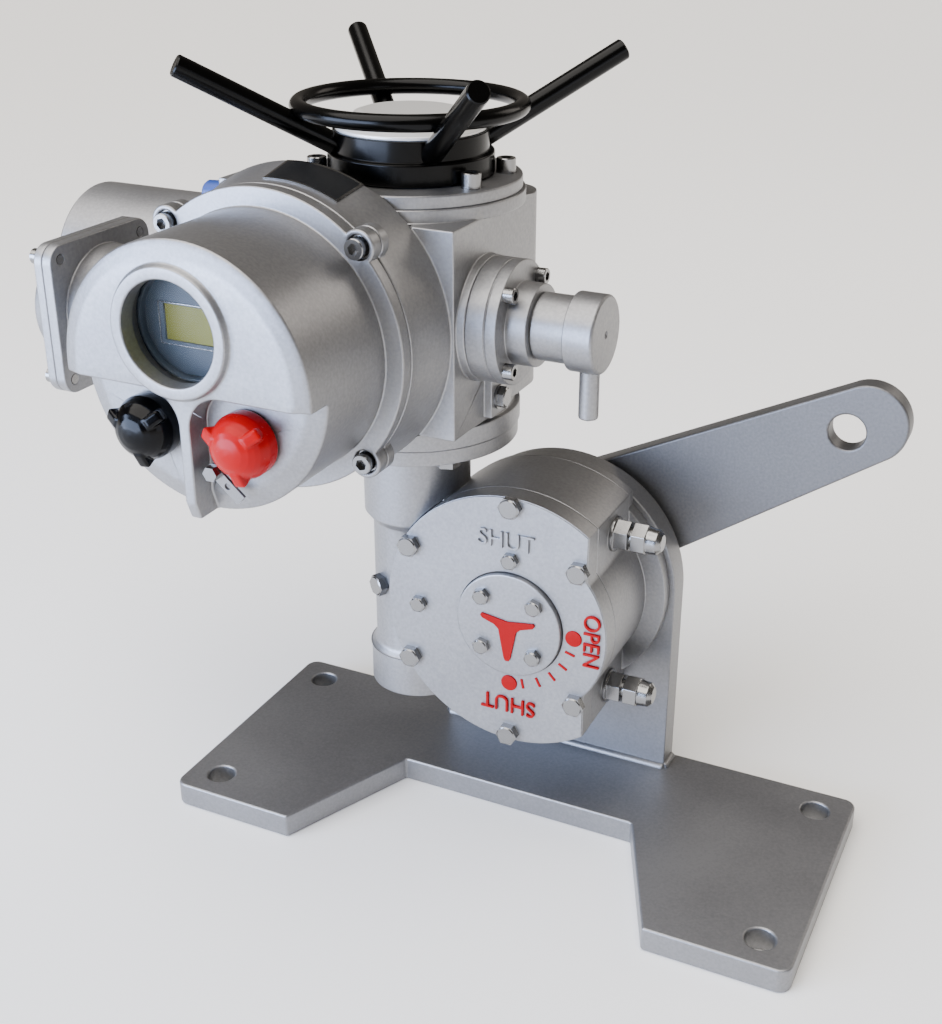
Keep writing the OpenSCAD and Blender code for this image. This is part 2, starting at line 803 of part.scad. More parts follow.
module stop_nuts() {
    color(steel) for (s = [-1, 1]) translate([flat_x + 0.5, stop_y, gear_h + s * stop_dz])
        rotate([0, 90, 0]) {
            ring(15, stop_r, 3);
            translate([0, 0, 3]) difference() {
                hex_prism(stop_nut_af, 12);
                translate([0, 0, -1]) cylinder(r = stop_r, h = 14);
            }
            translate([0, 0, 18]) difference() {
                union() {
                    hex_prism(stop_nut_af, 12);
                    translate([0, 0, 12]) cylinder(r1 = 11.4, r2 = 10.6, h = 9);
                    translate([0, 0, 21]) cylinder(r1 = 10.6, r2 = 7, h = 3.5);
                }
                translate([0, 0, -1]) cylinder(r = stop_r, h = 14);
            }
        }
}

module gearbox_worm() {
    thread_len = worm_turns * gear_lead;
    low = gear_h - thread_len / 2;
    core_r = worm_pitch_d / 2 - 1.2 * gear_m - 0.6;
    color(steel) translate([column_x, column_y, 0]) {
        translate([0, 0, low]) rotate(180 * (worm_turns % 2))
            worm_thread(worm_pitch_d / 2, gear_m, worm_turns, thread_backlash);
        translate([0, 0, worm_low_seat]) cylinder(r = bearing_id_r - run_fit, h = bearing_w);
        translate([0, 0, worm_low_seat + bearing_w])
            cylinder(r = core_r, h = low - worm_low_seat - bearing_w + 1);
        translate([0, 0, low + thread_len - 1])
            cylinder(r = core_r, h = worm_top_seat - low - thread_len + 1);
        translate([0, 0, worm_top_seat]) cylinder(r = bearing_id_r - run_fit, h = bearing_w);
        translate([0, 0, worm_top_seat + bearing_w - 1])
            cylinder(r = drive_key_r, h = worm_top_z - worm_top_seat - bearing_w + 1);
    }
}

module worm_bearings() {
    color(steel) translate([column_x, column_y, 0]) for (z = [worm_low_seat, worm_top_seat])
        translate([0, 0, z]) bearing(bearing_od_r, bearing_id_r, bearing_w);
}

module worm_end_cap() {
    color(cast) translate([column_x, column_y, tube_bottom_z + 1]) {
        cylinder(r = end_cap_r, h = 7);
        translate([0, 0, -3]) hex_prism(14, 4);
    }
}

module flange_bolts() {
    color(steel) translate([column_x, column_y, 0]) for (a = input_bolt_deg) rotate(a)
        translate([input_pcd_r, 0, input_flange_z]) rotate([180, 0, 0])
            hex_screw(input_bolt_r, input_flange_t + 12, 18, 8);
}

// Plan of the gearcase: round at the back, crisp at the front
module gearcase_plan() {
    hx = gearcase_hx;
    hy = gearcase_hy;
    translate([-hx, -hy]) square([2 * hx, 2 * hy - 28]);
    translate([28 - hx, -hy]) square([2 * hx - 56, 2 * hy]);
    for (s = [-1, 1]) translate([s * (hx - 28), hy - 28]) circle(28);
}

// Joint face of the electrical housing with its four screw lugs
module drum_outline(r) {
    circle(r);
    for (a = lug_deg) rotate(a) translate([lug_r, 0]) {
        circle(13);
        translate([-22, -13]) square([22, 26]);
    }
}

module gearcase() {
    color(cast) difference() {
        union() {
            translate([column_x, column_y, flange_top]) linear_extrude(gearcase_top - flange_top)
                gearcase_plan();
            translate([column_x, column_y, 0]) {
                translate([0, 0, drive_z]) cylinder(r = flange_r, h = flange_t - 3);
                translate([0, 0, drive_z + flange_t - 3]) cylinder(r = flange_r - 5, h = 5);
                translate([0, 0, gearcase_top - 1]) cylinder(r = flange_r + 2.5, h = neck_top_z - gearcase_top + 1);
            }
            translate([drum_x, gear_front_y + 0.5, drum_z]) rotate([90, 0, 0])
                cylinder(r1 = drum_back_r, r2 = drum_r, h = gear_front_y - drum_front_y - 9.5);
            translate([drum_x, gear_front_y + 5, drum_z]) rotate([90, 0, 0])
                cylinder(r = drum_pad_r, h = 7);
            translate([drum_x, 0, drum_z]) along_y(drum_front_y, drum_front_y + 10)
                drum_outline(drum_r);
            translate([0, terminal_y, terminal_z]) along_x(terminal_base_x) {
                linear_extrude(terminal_flange_t) round_rect(2 * terminal_half, 2 * terminal_half, 15);
                cylinder(r = terminal_r, h = drum_x - drum_r - 4 - terminal_base_x);
            }
            intersection() {
                translate([0, terminal_y, terminal_z]) along_x(terminal_base_x)
                    cylinder(r = terminal_r, h = drum_x - 60 - terminal_base_x);
                translate([terminal_base_x, drum_front_y, terminal_z - 80]) cube([300, 90, 160]);
            }
            translate([gear_right_x - 1, clutch_y, clutch_z]) rotate([0, 90, 0])
                cylinder(r = clutch_flange_r, h = 8);
            translate([gear_right_x - 1, earth_y - 13, flange_top + 2]) cube([8, 26, 34]);
            intersection() {
                translate([0, motor_y, motor_z]) along_x(motor_x) cylinder(r = motor_r - 8, h = motor_neck + 6);
                translate([motor_x, column_y, motor_z - 80]) cube([80, gearcase_hy, 160]);
            }
            translate([entry_at[0], gear_front_y - 6.5, entry_at[2] - 15])
                cube([gear_left_x + 3 - entry_at[0], 34, 32]);
            entry_place() cylinder(r = 12, h = entry_neck);
        }
        translate([column_x, column_y, 0]) {
            translate([0, 0, drive_z - 1]) cylinder(r = 44, h = 30);
            translate([0, 0, flange_top + 9]) cylinder(r = column_cavity_r, h = 200);
            for (a = input_bolt_deg) rotate(a) translate([input_pcd_r, 0, drive_z - 1])
                cylinder(r = input_bolt_r, h = 16);
            for (a = top_screw_deg) rotate(a) translate([top_screw_r, 0, neck_top_z - 18])
                cylinder(r = 5, h = 20);
            // Clearance for the top cover's edge behind the drum
            translate([0, 0, neck_top_z]) cylinder(r = flange_r + pass_gap, h = 30.5);
        }
        translate([drum_x, 0, drum_z]) along_y(drum_front_y - 1, gear_front_y - 3) circle(drum_cavity_r);
        for (a = lug_deg) translate([drum_x, drum_front_y - 1, drum_z]) rotate([0, -a, 0])
            translate([lug_r, 0, 0]) rotate([-90, 0, 0]) cylinder(r = lug_screw_r, h = 20);
        translate([0, terminal_y, terminal_z]) along_x(terminal_base_x - 1)
            cylinder(r = terminal_r - 8, h = 62);
        translate([0, terminal_y + 4, terminal_z]) along_x(terminal_base_x) cylinder(r = 28, h = 110);
        for (y = [-1, 1]) for (z = [-1, 1])
            translate([terminal_base_x - 1, terminal_y + y * terminal_bolt, terminal_z + z * terminal_bolt])
                rotate([0, 90, 0]) cylinder(r = 4, h = 12);
        translate([0, motor_y, motor_z]) along_x(motor_x - 1) cylinder(r = 20, h = column_x + 53 - motor_x);
        translate([0, clutch_y, clutch_z]) along_x(column_x + 40) cylinder(r = 28, h = 60);
        for (a = [45:90:315]) clutch_screw_place(a) translate([0, 0, -50]) cylinder(r = 4, h = 45);
        translate([gear_right_x - 8, earth_y, flange_top + 17]) rotate([0, 90, 0]) cylinder(r = 5, h = 20);
        entry_place() translate([0, 0, -22]) cylinder(r = 9, h = 50);
    }
}

// Cable entry behind the electrical housing's upper left, facing left
module entry_place() {
    translate(entry_at) rotate([0, -90, 0]) children();
}

module clutch_screw_place(a) {
    translate([clutch_face_x, clutch_y, clutch_z]) rotate([a, 0, 0]) translate([0, 42, 0])
        rotate([0, 90, 0]) children();
}

module earth_screw() {
    color(steel) translate([gear_right_x + 7, earth_y, flange_top + 17]) rotate([0, 90, 0]) {
        ring(10, 5 + screw_fit, 2);
        translate([0, 0, 2 + seat_gap]) hex_screw(5, 16, 16, 6);
    }
}

module cable_plug() {
    color([0.16, 0.3, 0.62]) entry_place() {
        translate([0, 0, -10]) cylinder(r = 8.7, h = entry_neck + 12);
        translate([0, 0, entry_neck + seat_gap]) cylinder(r1 = 10.2, r2 = 9.4, h = 15);
        translate([0, 0, entry_neck + 15]) cylinder(r1 = 9.4, r2 = 7.9, h = 2);
    }
}

module top_cover() {
    color(cast) translate([column_x, column_y, 0]) difference() {
        union() {
            translate([0, 0, top_cover_z]) cylinder(r = flange_r, h = top_cover_top - top_cover_z - 1);
            translate([0, 0, top_cover_top - 1]) cylinder(r1 = flange_r, r2 = flange_r - 1, h = 1);
            translate([0, 0, top_cover_z - 16]) cylinder(r = column_cavity_r - spigot_fit, h = 17);
        }
        translate([0, 0, top_cover_z - 17]) cylinder(r = 54, h = 40);
        for (a = top_screw_deg) rotate(a) translate([top_screw_r, 0, top_cover_z - 1])
            cylinder(r = 5 + screw_fit, h = 12);
    }
}

module top_screws() {
    color(steel) translate([column_x, column_y, 0]) for (a = top_screw_deg) rotate(a)
        translate([top_screw_r, 0, top_cover_top]) {
            washer_and_screw(5, 24, top_washer_r, 1.5);
        }
}

module drive_sleeve() {
    color(steel) translate([column_x, column_y, 0]) difference() {
        union() {
            translate([0, 0, sleeve_z]) cylinder(r = column_r, h = sleeve_top - sleeve_z);
            translate([0, 0, motor_z - drive_w / 2 - 6 - pass_gap]) cylinder(r = 38, h = 6);
        }
        translate([0, 0, sleeve_z - 1]) cylinder(r = drive_key_r, h = sleeve_top);
    }
}

module column_bearings() {
    color(steel) translate([column_x, column_y, 0]) {
        translate([0, 0, sleeve_z + 6]) bearing(44, column_r + run_fit, 16);
        translate([0, 0, top_cover_z - 14]) bearing(54, hub_journal_r + run_fit, 14);
    }
}

// Dogs that stand on a face, spread evenly round the column
module dogs(inner, outer, h, turn) {
    intersection() {
        ring(outer, inner, h);
        for (k = [0:dog_count - 1]) rotate(turn + k * 360 / dog_count)
            translate([0, -6, 0]) cube([outer + 5, 12, h]);
    }
}

module worm_wheel() {
    color(bronze) translate([column_x, column_y, motor_z]) {
        difference() {
            union() {
                translate([0, 0, -drive_w / 2]) cylinder(r = wheel_pitch - 1.25 * drive_m, h = drive_w);
                for (k = [0:drive_teeth - 1]) rotate(90 + (k + 0.5) * 360 / drive_teeth)
                    wheel_tooth(wheel_pitch, drive_m, drive_w, -drive_lead_deg);
            }
            translate([0, 0, -drive_w]) cylinder(r = column_r + run_fit, h = 2 * drive_w);
        }
        translate([0, 0, drive_w / 2 - 1]) dogs(column_r + 2, wheel_pitch - 6, dog_h + 1, 0);
    }
}

module clutch_ring() {
    color(steel) translate([column_x, column_y, 0]) {
        difference() {
            translate([0, 0, ring_low_z]) cylinder(r = ring_r, h = ring_top_z - ring_low_z);
            translate([0, 0, groove_z - 20]) cylinder(r = column_r + run_fit, h = 60);
            translate([0, 0, groove_z - groove_h / 2]) ring(ring_r + 2, ring_r - 9, groove_h);
        }
        translate([0, 0, ring_top_z - 1]) dogs(column_r + 2, ring_r - 4, dog_h + 1, 30);
        translate([0, 0, ring_low_z - dog_h]) dogs(column_r + 2, ring_r - 6, dog_h + 1, 30);
    }
}

module handwheel_hub() {
    color(gloss_black) translate([column_x, column_y, 0]) {
        difference() {
            union() {
                translate([0, 0, hub_band_z]) cylinder(r = hub_band_r, h = hub_step_z - hub_band_z - 1);
                translate([0, 0, hub_step_z - 1]) cylinder(r1 = hub_band_r, r2 = hub_band_r - 1, h = 1);
                translate([0, 0, hub_step_z]) cylinder(r = hub_upper_r, h = hub_top_z - hub_step_z);
                translate([0, 0, hub_bottom_z]) cylinder(r = hub_journal_r, h = hub_band_z - hub_bottom_z + 1);
            }
            translate([0, 0, hub_bottom_z - 1]) cylinder(r = column_r + run_fit, h = 30);
            translate([0, 0, hub_bottom_z + 18]) cylinder(r = hub_bore_r, h = 120);
        }
        translate([0, 0, hub_bottom_z - dog_h]) dogs(column_r + 2, ring_r - 4, dog_h + 1, 0);
    }
}

module handwheel_rim() {
    color(gloss_black) translate([column_x, column_y, rim_z])
        rotate_extrude() translate([rim_r, 0]) circle(rim_tube_d / 2);
}

module handwheel_bars() {
    run = bar_reach - bar_root_r;
    rise = bar_end_z - bar_root_z;
    color(gloss_black) translate([column_x, column_y, 0]) difference() {
        for (k = [0:3]) rotate(bar_deg + 90 * k) translate([bar_root_r, 0, bar_root_z])
            rotate([0, atan2(run, rise), 0]) {
                cylinder(r = bar_d / 2, h = norm([run, rise]) - 1);
                translate([0, 0, norm([run, rise]) - 1])
                    cylinder(r1 = bar_d / 2, r2 = bar_d / 2 - 1, h = 1);
            }
        translate([0, 0, hub_step_z - 4]) cylinder(r = hub_upper_r, h = 24);
        translate([0, 0, hub_band_z]) cylinder(r = hub_band_r, h = hub_step_z - hub_band_z);
        translate([0, 0, rim_z]) rotate_extrude() translate([rim_r, 0]) circle(rim_tube_d / 2);
    }
}

module hub_cap() {
    color(steel) translate([column_x, column_y, hub_top_z]) {
        cylinder(r = 59, h = 3);
        translate([0, 0, 3]) cylinder(r1 = 58, r2 = 46, h = cap_low_z - hub_top_z - 3);
        translate([0, 0, cap_low_z - hub_top_z]) cylinder(r = 44.5, h = cap_top_z - cap_low_z - 2);
        translate([0, 0, cap_top_z - hub_top_z - 2]) cylinder(r1 = 44.5, r2 = 38, h = 2);
    }
}

module motor_housing() {
    color(cast) translate([0, motor_y, motor_z]) difference() {
        union() {
            along_x(motor_end_x + 4) cylinder(r = motor_r, h = motor_len - 4);
            along_x(motor_end_x) cylinder(r1 = motor_r - 5, r2 = motor_r, h = 4);
        }
        along_x(motor_end_x + 26) cylinder(r = motor_r - 9, h = motor_len);
        along_x(motor_end_x + 10) cylinder(r = motor_bore_r, h = 20);
    }
    color(cast) translate([0, motor_y, motor_z]) along_x(motor_x - 8) ring(motor_r - 9, motor_bore_r, 8);
}

module motor_stator() {
    color([0.35, 0.36, 0.38]) translate([motor_end_x + 70, motor_y, motor_z]) rotate([0, 90, 0])
        ring(motor_r - 9, rotor_r + 0.8, 110);
    color(bronze) translate([0, motor_y, motor_z]) {
        along_x(motor_end_x + 48) ring(motor_r - 16, rotor_r + 5, 22);
        along_x(motor_end_x + 180) ring(motor_r - 16, rotor_r + 5, 22);
    }
}

module motor_rotor() {
    thread_len = drive_turns * drive_lead;
    low = column_x - thread_len / 2;
    far_x = column_x + 50;
    color(steel) translate([0, motor_y, motor_z]) {
        along_x(motor_end_x + 70) cylinder(r = rotor_r, h = 110);
        along_x(motor_end_x + 12) cylinder(r = motor_shaft_r - run_fit, h = 60);
        along_x(motor_end_x + 179) cylinder(r = motor_shaft_r - run_fit, h = low - motor_end_x - 178);
        along_x(low) rotate(-90) worm_thread(motor_worm_pitch_r, drive_m, drive_turns, 0.3);
        along_x(low + thread_len - 1) cylinder(r = motor_shaft_r - run_fit, h = far_x - low - thread_len + 1);
    }
}

module motor_bearings() {
    color(steel) translate([0, motor_y, motor_z]) {
        along_x(motor_end_x + 12) bearing(motor_bore_r, motor_shaft_r, 12);
        along_x(motor_x - 8) bearing(motor_bore_r, motor_shaft_r, 10);
        along_x(column_x + 40) bearing(20, motor_shaft_r, 10);
    }
}

module clutch_housing() {
    base_x = gear_right_x + 7;
    color(cast) translate([0, clutch_y, clutch_z]) difference() {
        union() {
            along_x(base_x) cylinder(r = clutch_flange_r - 0.6, h = 15);
            along_x(base_x + 15) cylinder(r = clutch_flange_r - 1.6, h = 1);
            along_x(base_x + 16) cylinder(r = clutch_flange_r - 0.6, h = clutch_face_x - base_x - 16);
            along_x(clutch_face_x - 1) cylinder(r = 32, h = clutch_neck_x - clutch_face_x);
            along_x(clutch_neck_x - 2) cylinder(r = 24, h = 3);
            along_x(clutch_neck_x) cylinder(r = 26, h = clutch_body_x - clutch_neck_x - 0.4);
            along_x(base_x - 20) cylinder(r = 27.8, h = 21);
        }
        along_x(base_x - 30) cylinder(r = shift_r + run_fit, h = 200);
        for (a = [45:90:315]) rotate([a, 0, 0]) translate([0, 42, 0]) along_x(base_x - 1)
            cylinder(r = 4 + screw_fit, h = 60);
    }
}

module clutch_screws() {
    color(steel) for (a = [45:90:315]) clutch_screw_place(a) socket_screw(4, 40);
}

module hand_lever() {
    color(cast) translate([0, clutch_y, clutch_z]) difference() {
        union() {
            along_x(clutch_body_x) cylinder(r = clutch_cap_r, h = clutch_end_x - clutch_body_x - 1.5);
            along_x(clutch_end_x - 1.5) cylinder(r1 = clutch_cap_r, r2 = clutch_cap_r - 1.5, h = 1.5);
        }
        along_x(clutch_body_x - 1) cylinder(r = shift_r, h = 17);
        along_x(clutch_end_x - 1) cylinder(r = 2.5, h = 3);
    }
    color(steel) translate([clutch_body_x + 12, clutch_y, clutch_z]) {
        translate([0, 0, -clutch_cap_r - clutch_rod_len + 1]) cylinder(r = 7.8, h = clutch_rod_len + 2);
        translate([0, 0, -clutch_cap_r - clutch_rod_len]) cylinder(r1 = 6.8, r2 = 7.8, h = 1);
    }
}

module shift_shaft() {
    inner_x = column_x + ring_r + 4;
    a = shift_swing / 2;
    color(steel) translate([0, clutch_y, clutch_z]) {
        along_x(inner_x + 9) cylinder(r = shift_r, h = clutch_body_x + 16 - inner_x - 9);
        along_x(inner_x) cylinder(r = 21, h = 9);
        translate([inner_x - 14, shift_arm * cos(a), shift_arm * sin(a)]) rotate([0, 90, 0])
            cylinder(r = shift_pin_r, h = 15);
    }
}

// Face outline of the control cover below its window, where the knobs sit
module recess_outline() {
    gap = rib_w / 2;
    difference() {
        translate([-130, recess_top - drum_z - 140]) square([260, 140]);
        translate([-gap, -130]) square([2 * gap, 140]);
        for (s = [-1, 1]) difference() {
            translate([s > 0 ? gap - 0.01 : -gap - recess_fillet, recess_top - drum_z - recess_fillet])
                square([recess_fillet + 0.01, recess_fillet + 1]);
            translate([s * (gap + recess_fillet), recess_top - drum_z - recess_fillet])
                circle(recess_fillet);
        }
    }
}

module control_cover() {
    joint_y = drum_front_y - gasket_t;
    slope_y = floor_y + floor_slope;
    color(cast) translate([drum_x, 0, drum_z]) difference() {
        union() {
            difference() {
                union() {
                    along_y(barrel_front_y + panel_chamfer, joint_y) circle(barrel_r);
                    translate([0, barrel_front_y + panel_chamfer, 0]) rotate([90, 0, 0])
                        cylinder(r1 = barrel_r, r2 = panel_inner_r, h = panel_chamfer);
                }
                along_y(barrel_front_y - 1, slope_y) recess_outline();
            }
            translate([0, slope_y, 0]) rotate([90, 0, 0])
                cylinder(r1 = barrel_r, r2 = floor_r, h = floor_slope);
            along_y(barrel_flange_y, joint_y) difference() {
                drum_outline(drum_r);
                for (a = lug_deg) rotate(a) translate([lug_r, 0]) circle(lug_seat_r);
            }
            along_y(barrel_flange_y + lug_seat, joint_y) drum_outline(drum_r);
            translate([window_at[0] - drum_x, barrel_front_y + 1, window_at[1] - drum_z])
                rotate([90, 0, 0]) cylinder(r1 = window_rim_r, r2 = window_rim_r - 1.5, h = 6);
        }
        along_y(wall_back_y, floor_y + 8) difference() {
            circle(barrel_r - barrel_wall);
            translate([-130, -130]) square([260, 134 + recess_top - drum_z]);
        }
        along_y(floor_y + 7, joint_y + 1) circle(barrel_r - barrel_wall);
        translate([window_at[0] - drum_x, 0, window_at[1] - drum_z]) {
            along_y(barrel_front_y - 10, well_back_y) circle(window_r);
            along_y(glass_y, well_back_y) circle(window_r + glass_lip);
        }
        for (s = [-1, 1]) translate([s * knob_dx, 0, knob_z - drum_z])
            along_y(floor_y - 1, floor_y + 8) circle(knob_shaft_r + run_fit);
        for (a = lug_deg) rotate([0, -a, 0]) translate([lug_r, joint_y + 1, 0]) rotate([90, 0, 0])
            cylinder(r = 5 + screw_fit, h = 20);
        translate([lock_at[0] - drum_x, 0, lock_at[1] - drum_z]) along_y(floor_y - 1, floor_y + 5)
            circle(lock_screw_r);
    }
    color(cast) for (a = board_post_deg) translate([drum_x, board_front_y, drum_z])
        rotate([0, -a, 0]) translate([board_post_at, 0, 0]) rotate([90, 0, 0])
            cylinder(r = 4.5, h = board_front_y - (sin(a) < 0 ? floor_y + 6 : wall_back_y - 1));
}

module control_gasket() {
    color(rubber) translate([drum_x, 0, drum_z]) along_y(drum_front_y - gasket_t, drum_front_y)
        difference() {
            circle(drum_r - 12);
            circle(drum_cavity_r - 5);
        }
}

module cover_screws() {
    color(steel) for (a = lug_deg) translate([drum_x, barrel_flange_y + lug_seat, drum_z])
        rotate([0, -a, 0]) translate([lug_r, 0, 0]) rotate([90, 0, 0])
            washer_and_screw(5, 18, lug_seat_r - 0.4, 1);
}

module window_glass() {
    color([0.5, 0.6, 0.65, 0.4]) translate([window_at[0], 0, window_at[1]])
        along_y(glass_y, glass_y + 8) circle(window_r + glass_lip - 0.3);
}

module display_frame() {
    color([0.2, 0.24, 0.28]) translate([window_at[0], 0, window_at[1]])
        along_y(display_y, display_y + 8) difference() {
            intersection() {
                circle(display_rim_r);
                translate([-60, -38]) square([120, 100]);
            }
            translate(panel_at) square(panel_size);
        }
    color([0.2, 0.24, 0.28]) for (a = [20, 90, 160]) translate([window_at[0], display_y + 1, window_at[1]])
        rotate([0, -a, 0]) translate([display_rim_r - 4, 0, 0]) rotate([90, 0, 0])
            cylinder(r = 3.8, h = display_y + 1 - wall_back_y);
}

module display_panel() {
    color([0.62, 0.64, 0.22]) translate([window_at[0], 0, window_at[1]])
        along_y(display_y + 1.5, display_y + 7) translate([panel_at[0] + 0.1, panel_at[1] + 0.1])
            square([panel_size[0] - 0.2, panel_size[1] - 0.2]);
}

module circuit_boards() {
    color([0.05, 0.3, 0.16]) translate([drum_x, 0, drum_z]) {
        for (y = [board_back_y, board_front_y]) along_y(y, y + 2) difference() {
            circle(barrel_r - barrel_wall - 4);
            for (a = board_post_deg) rotate(a) translate([board_post_at, 0]) circle(2.5);
        }
    }
    color(steel) translate([drum_x, 0, drum_z]) for (a = board_post_deg) rotate([0, -a, 0])
        translate([board_post_at, board_back_y + 1, 0]) rotate([90, 0, 0])
            ring(4.5, 2.2, board_back_y - board_front_y);
    color([0.08, 0.08, 0.09]) translate([drum_x, board_front_y, drum_z])
        for (at = [[-40, 20], [10, -10], [30, 40], [-20, -50]])
            translate([at[0], -8, at[1]]) cube([22, 9, 16]);
}

// Domed knob with three lobes; its back face lies at zero and it points up
module star_knob() {
    dome_z = knob_base + knob_taper;
    rotate_extrude() polygon([
        [0, 0], [knob_r - 2, 0], [knob_r - 2, knob_base], [knob_r - 2.6, knob_base + 0.6],
        for (i = [0:6]) [knob_top_r * cos(i * 14), dome_z + knob_dome * sin(i * 14)],
        [0, dome_z + knob_dome * sin(84)]
    ]);
    for (a = knob_lobe_deg) rotate(a) translate([0, 4.5, 0]) rotate([90, 0, 0])
        linear_extrude(9) polygon([
            [8, knob_base - 2], [knob_r - 2.5, knob_base - 2], [knob_r, knob_base + 2],
            [knob_r, dome_z], [knob_r - 4, dome_z + 6.5], [knob_r - 11, dome_z + 9], [8, dome_z + 9]
        ]);
    translate([0, 0, -knob_shaft_len]) cylinder(r = knob_shaft_r, h = knob_shaft_len + 1);
}

module control_knob() {
    color(gloss_black) translate([drum_x - knob_dx, floor_y - 1, knob_z]) rotate([90, 0, 0]) star_knob();
}

module selector_knob() {
    color(signal_red) translate([drum_x + knob_dx, floor_y - 1, knob_z]) rotate([90, 0, 0]) star_knob();
}

module lock_screw() {
    color(steel) translate([lock_at[0], floor_y, lock_at[1]]) rotate([90, 0, 0]) {
        translate([0, 0, -4.8]) cylinder(r = lock_screw_r, h = 5);
        cylinder(r = lock_screw_r + 2, h = lock_tab_lift - seat_gap);
        translate([0, 0, 1]) cylinder(r = lock_screw_r, h = lock_tab_lift + 3);
        translate([0, 0, lock_tab_lift + 2.5]) hex_prism(10, 6);
    }
}

module lock_tab() {
    color(steel) translate([lock_at[0], floor_y, lock_at[1]]) rotate([90, 0, 0])
        translate([0, 0, lock_tab_lift]) linear_extrude(2.4) difference() {
            union() {
                circle(6);
                rotate(-42) translate([3, -4.5]) square([25, 9]);
            }
            circle(lock_screw_r + 0.05);
            rotate(-42) translate([14, 0]) circle(2.6);
        }
}

module terminal_cover() {
    dome_r = terminal_r + 3;
    color(cast) translate([0, terminal_y, terminal_z]) difference() {
        union() {
            along_x(terminal_x) linear_extrude(terminal_cover_t) round_rect(2 * terminal_half, 2 * terminal_half, 15);
            along_x(terminal_x - dome_h + 8) cylinder(r1 = dome_r - 6, r2 = dome_r, h = dome_h - 8 + 1);
            along_x(terminal_x - dome_h) cylinder(r1 = dome_r - 18, r2 = dome_r - 6, h = 8);
        }
        along_x(terminal_x - dome_h + 12) cylinder(r = terminal_r - 8, h = dome_h);
        for (y = [-1, 1]) for (z = [-1, 1]) translate([terminal_x - 1, y * terminal_bolt, z * terminal_bolt])
            rotate([0, 90, 0]) cylinder(r = 4 + screw_fit, h = 12);
    }
}

module terminal_screws() {
    color(steel) for (y = [-1, 1]) for (z = [-1, 1])
        translate([terminal_x, terminal_y + y * terminal_bolt, terminal_z + z * terminal_bolt])
            rotate([0, -90, 0]) {
                washer_and_screw(4, 17, 6.6, 1);
            }
}

module terminal_block() {
    color([0.12, 0.12, 0.13]) translate([terminal_base_x + 30, terminal_y, terminal_z]) difference() {
        translate([0, -32, -20]) cube([24, 64, 40]);
        for (k = [-3:3]) for (z = [-11, 11])
            translate([-1, k * 8.5, z]) rotate([0, 90, 0]) cylinder(r = 2.6, h = 12);
    }
    color([0.12, 0.12, 0.13]) translate([terminal_base_x + 54, terminal_y, terminal_z]) rotate([0, 90, 0])
        cylinder(r = terminal_r - 8.2, h = 6);
}

base_plate();
upright_plate();
weld_beads();
gearbox_housing();
gearbox_cover();
cover_gasket();
cover_bolts();
grease_plugs();
mounting_screws();
shaft_bushes();
shaft_seal();
worm_quadrant();
lever_shaft();
shaft_keys();
lever_arm();
lever_retainer();
pointer_disc();
pointer_arrow();
pointer_screws();
stop_screws();
stop_nuts();
gearbox_worm();
worm_bearings();
worm_end_cap();
flange_bolts();
gearcase();
earth_screw();
cable_plug();
top_cover();
top_screws();
drive_sleeve();
column_bearings();
worm_wheel();
clutch_ring();
handwheel_hub();
handwheel_rim();
handwheel_bars();
hub_cap();
motor_housing();
motor_stator();
motor_rotor();
motor_bearings();
clutch_housing();
clutch_screws();
hand_lever();
shift_shaft();
control_cover();
control_gasket();
cover_screws();
window_glass();
display_frame();
display_panel();
circuit_boards();
control_knob();
selector_knob();
lock_screw();
lock_tab();
terminal_cover();
terminal_screws();
terminal_block();
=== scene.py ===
# %% [markdown]
# # An electric damper actuator
# A motor drive with a handwheel stands on a quarter-turn gearbox, and the gearbox swings a lever behind a
# welded floor bracket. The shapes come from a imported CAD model, which is loaded here as a fixed frame.
# This lesson dresses that frame: it sets the camera and the lights, makes the finishes, and models the
# small things that a CAD part leaves out. Everything is in metres.

import math

import bpy
from mathutils import Matrix, Vector
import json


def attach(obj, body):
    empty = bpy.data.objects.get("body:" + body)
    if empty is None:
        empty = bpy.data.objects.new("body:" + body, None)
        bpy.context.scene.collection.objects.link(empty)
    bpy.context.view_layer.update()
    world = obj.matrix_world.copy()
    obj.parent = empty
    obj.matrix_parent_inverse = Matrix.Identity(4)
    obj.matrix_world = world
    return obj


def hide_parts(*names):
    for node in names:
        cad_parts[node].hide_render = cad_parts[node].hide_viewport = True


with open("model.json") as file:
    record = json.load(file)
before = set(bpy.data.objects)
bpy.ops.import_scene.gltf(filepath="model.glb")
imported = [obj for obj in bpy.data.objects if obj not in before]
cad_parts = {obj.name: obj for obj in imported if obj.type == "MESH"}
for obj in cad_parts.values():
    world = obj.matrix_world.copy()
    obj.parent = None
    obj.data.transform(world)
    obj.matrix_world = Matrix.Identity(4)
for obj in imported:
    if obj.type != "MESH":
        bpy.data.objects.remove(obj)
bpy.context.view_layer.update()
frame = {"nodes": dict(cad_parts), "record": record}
MM = 0.001

# %% [markdown]
# Most of the small pieces sit on a CAD node, so where they can, they take their place from that node's box.
# The node's vertices already stand in the shared frame, because its object has its origin at the frame's
# own origin.

# %% Measure a CAD node
def box_of(node):
    """The lowest and the highest corner of a CAD node, rounded to a thousandth of a millimetre."""
    points = [vertex.co for vertex in frame["nodes"][node].data.vertices]
    low = [round(min(point[axis] for point in points), 6) for axis in range(3)]
    high = [round(max(point[axis] for point in points), 6) for axis in range(3)]
    return low, high


def middle_of(node):
    """The middle of a CAD node's box."""
    low, high = box_of(node)
    return [round((a + b) / 2, 6) for a, b in zip(low, high)]


SHAFT_Z = middle_of("pointer_disc")[2]
print("the lever shaft's height in metres:", SHAFT_Z)

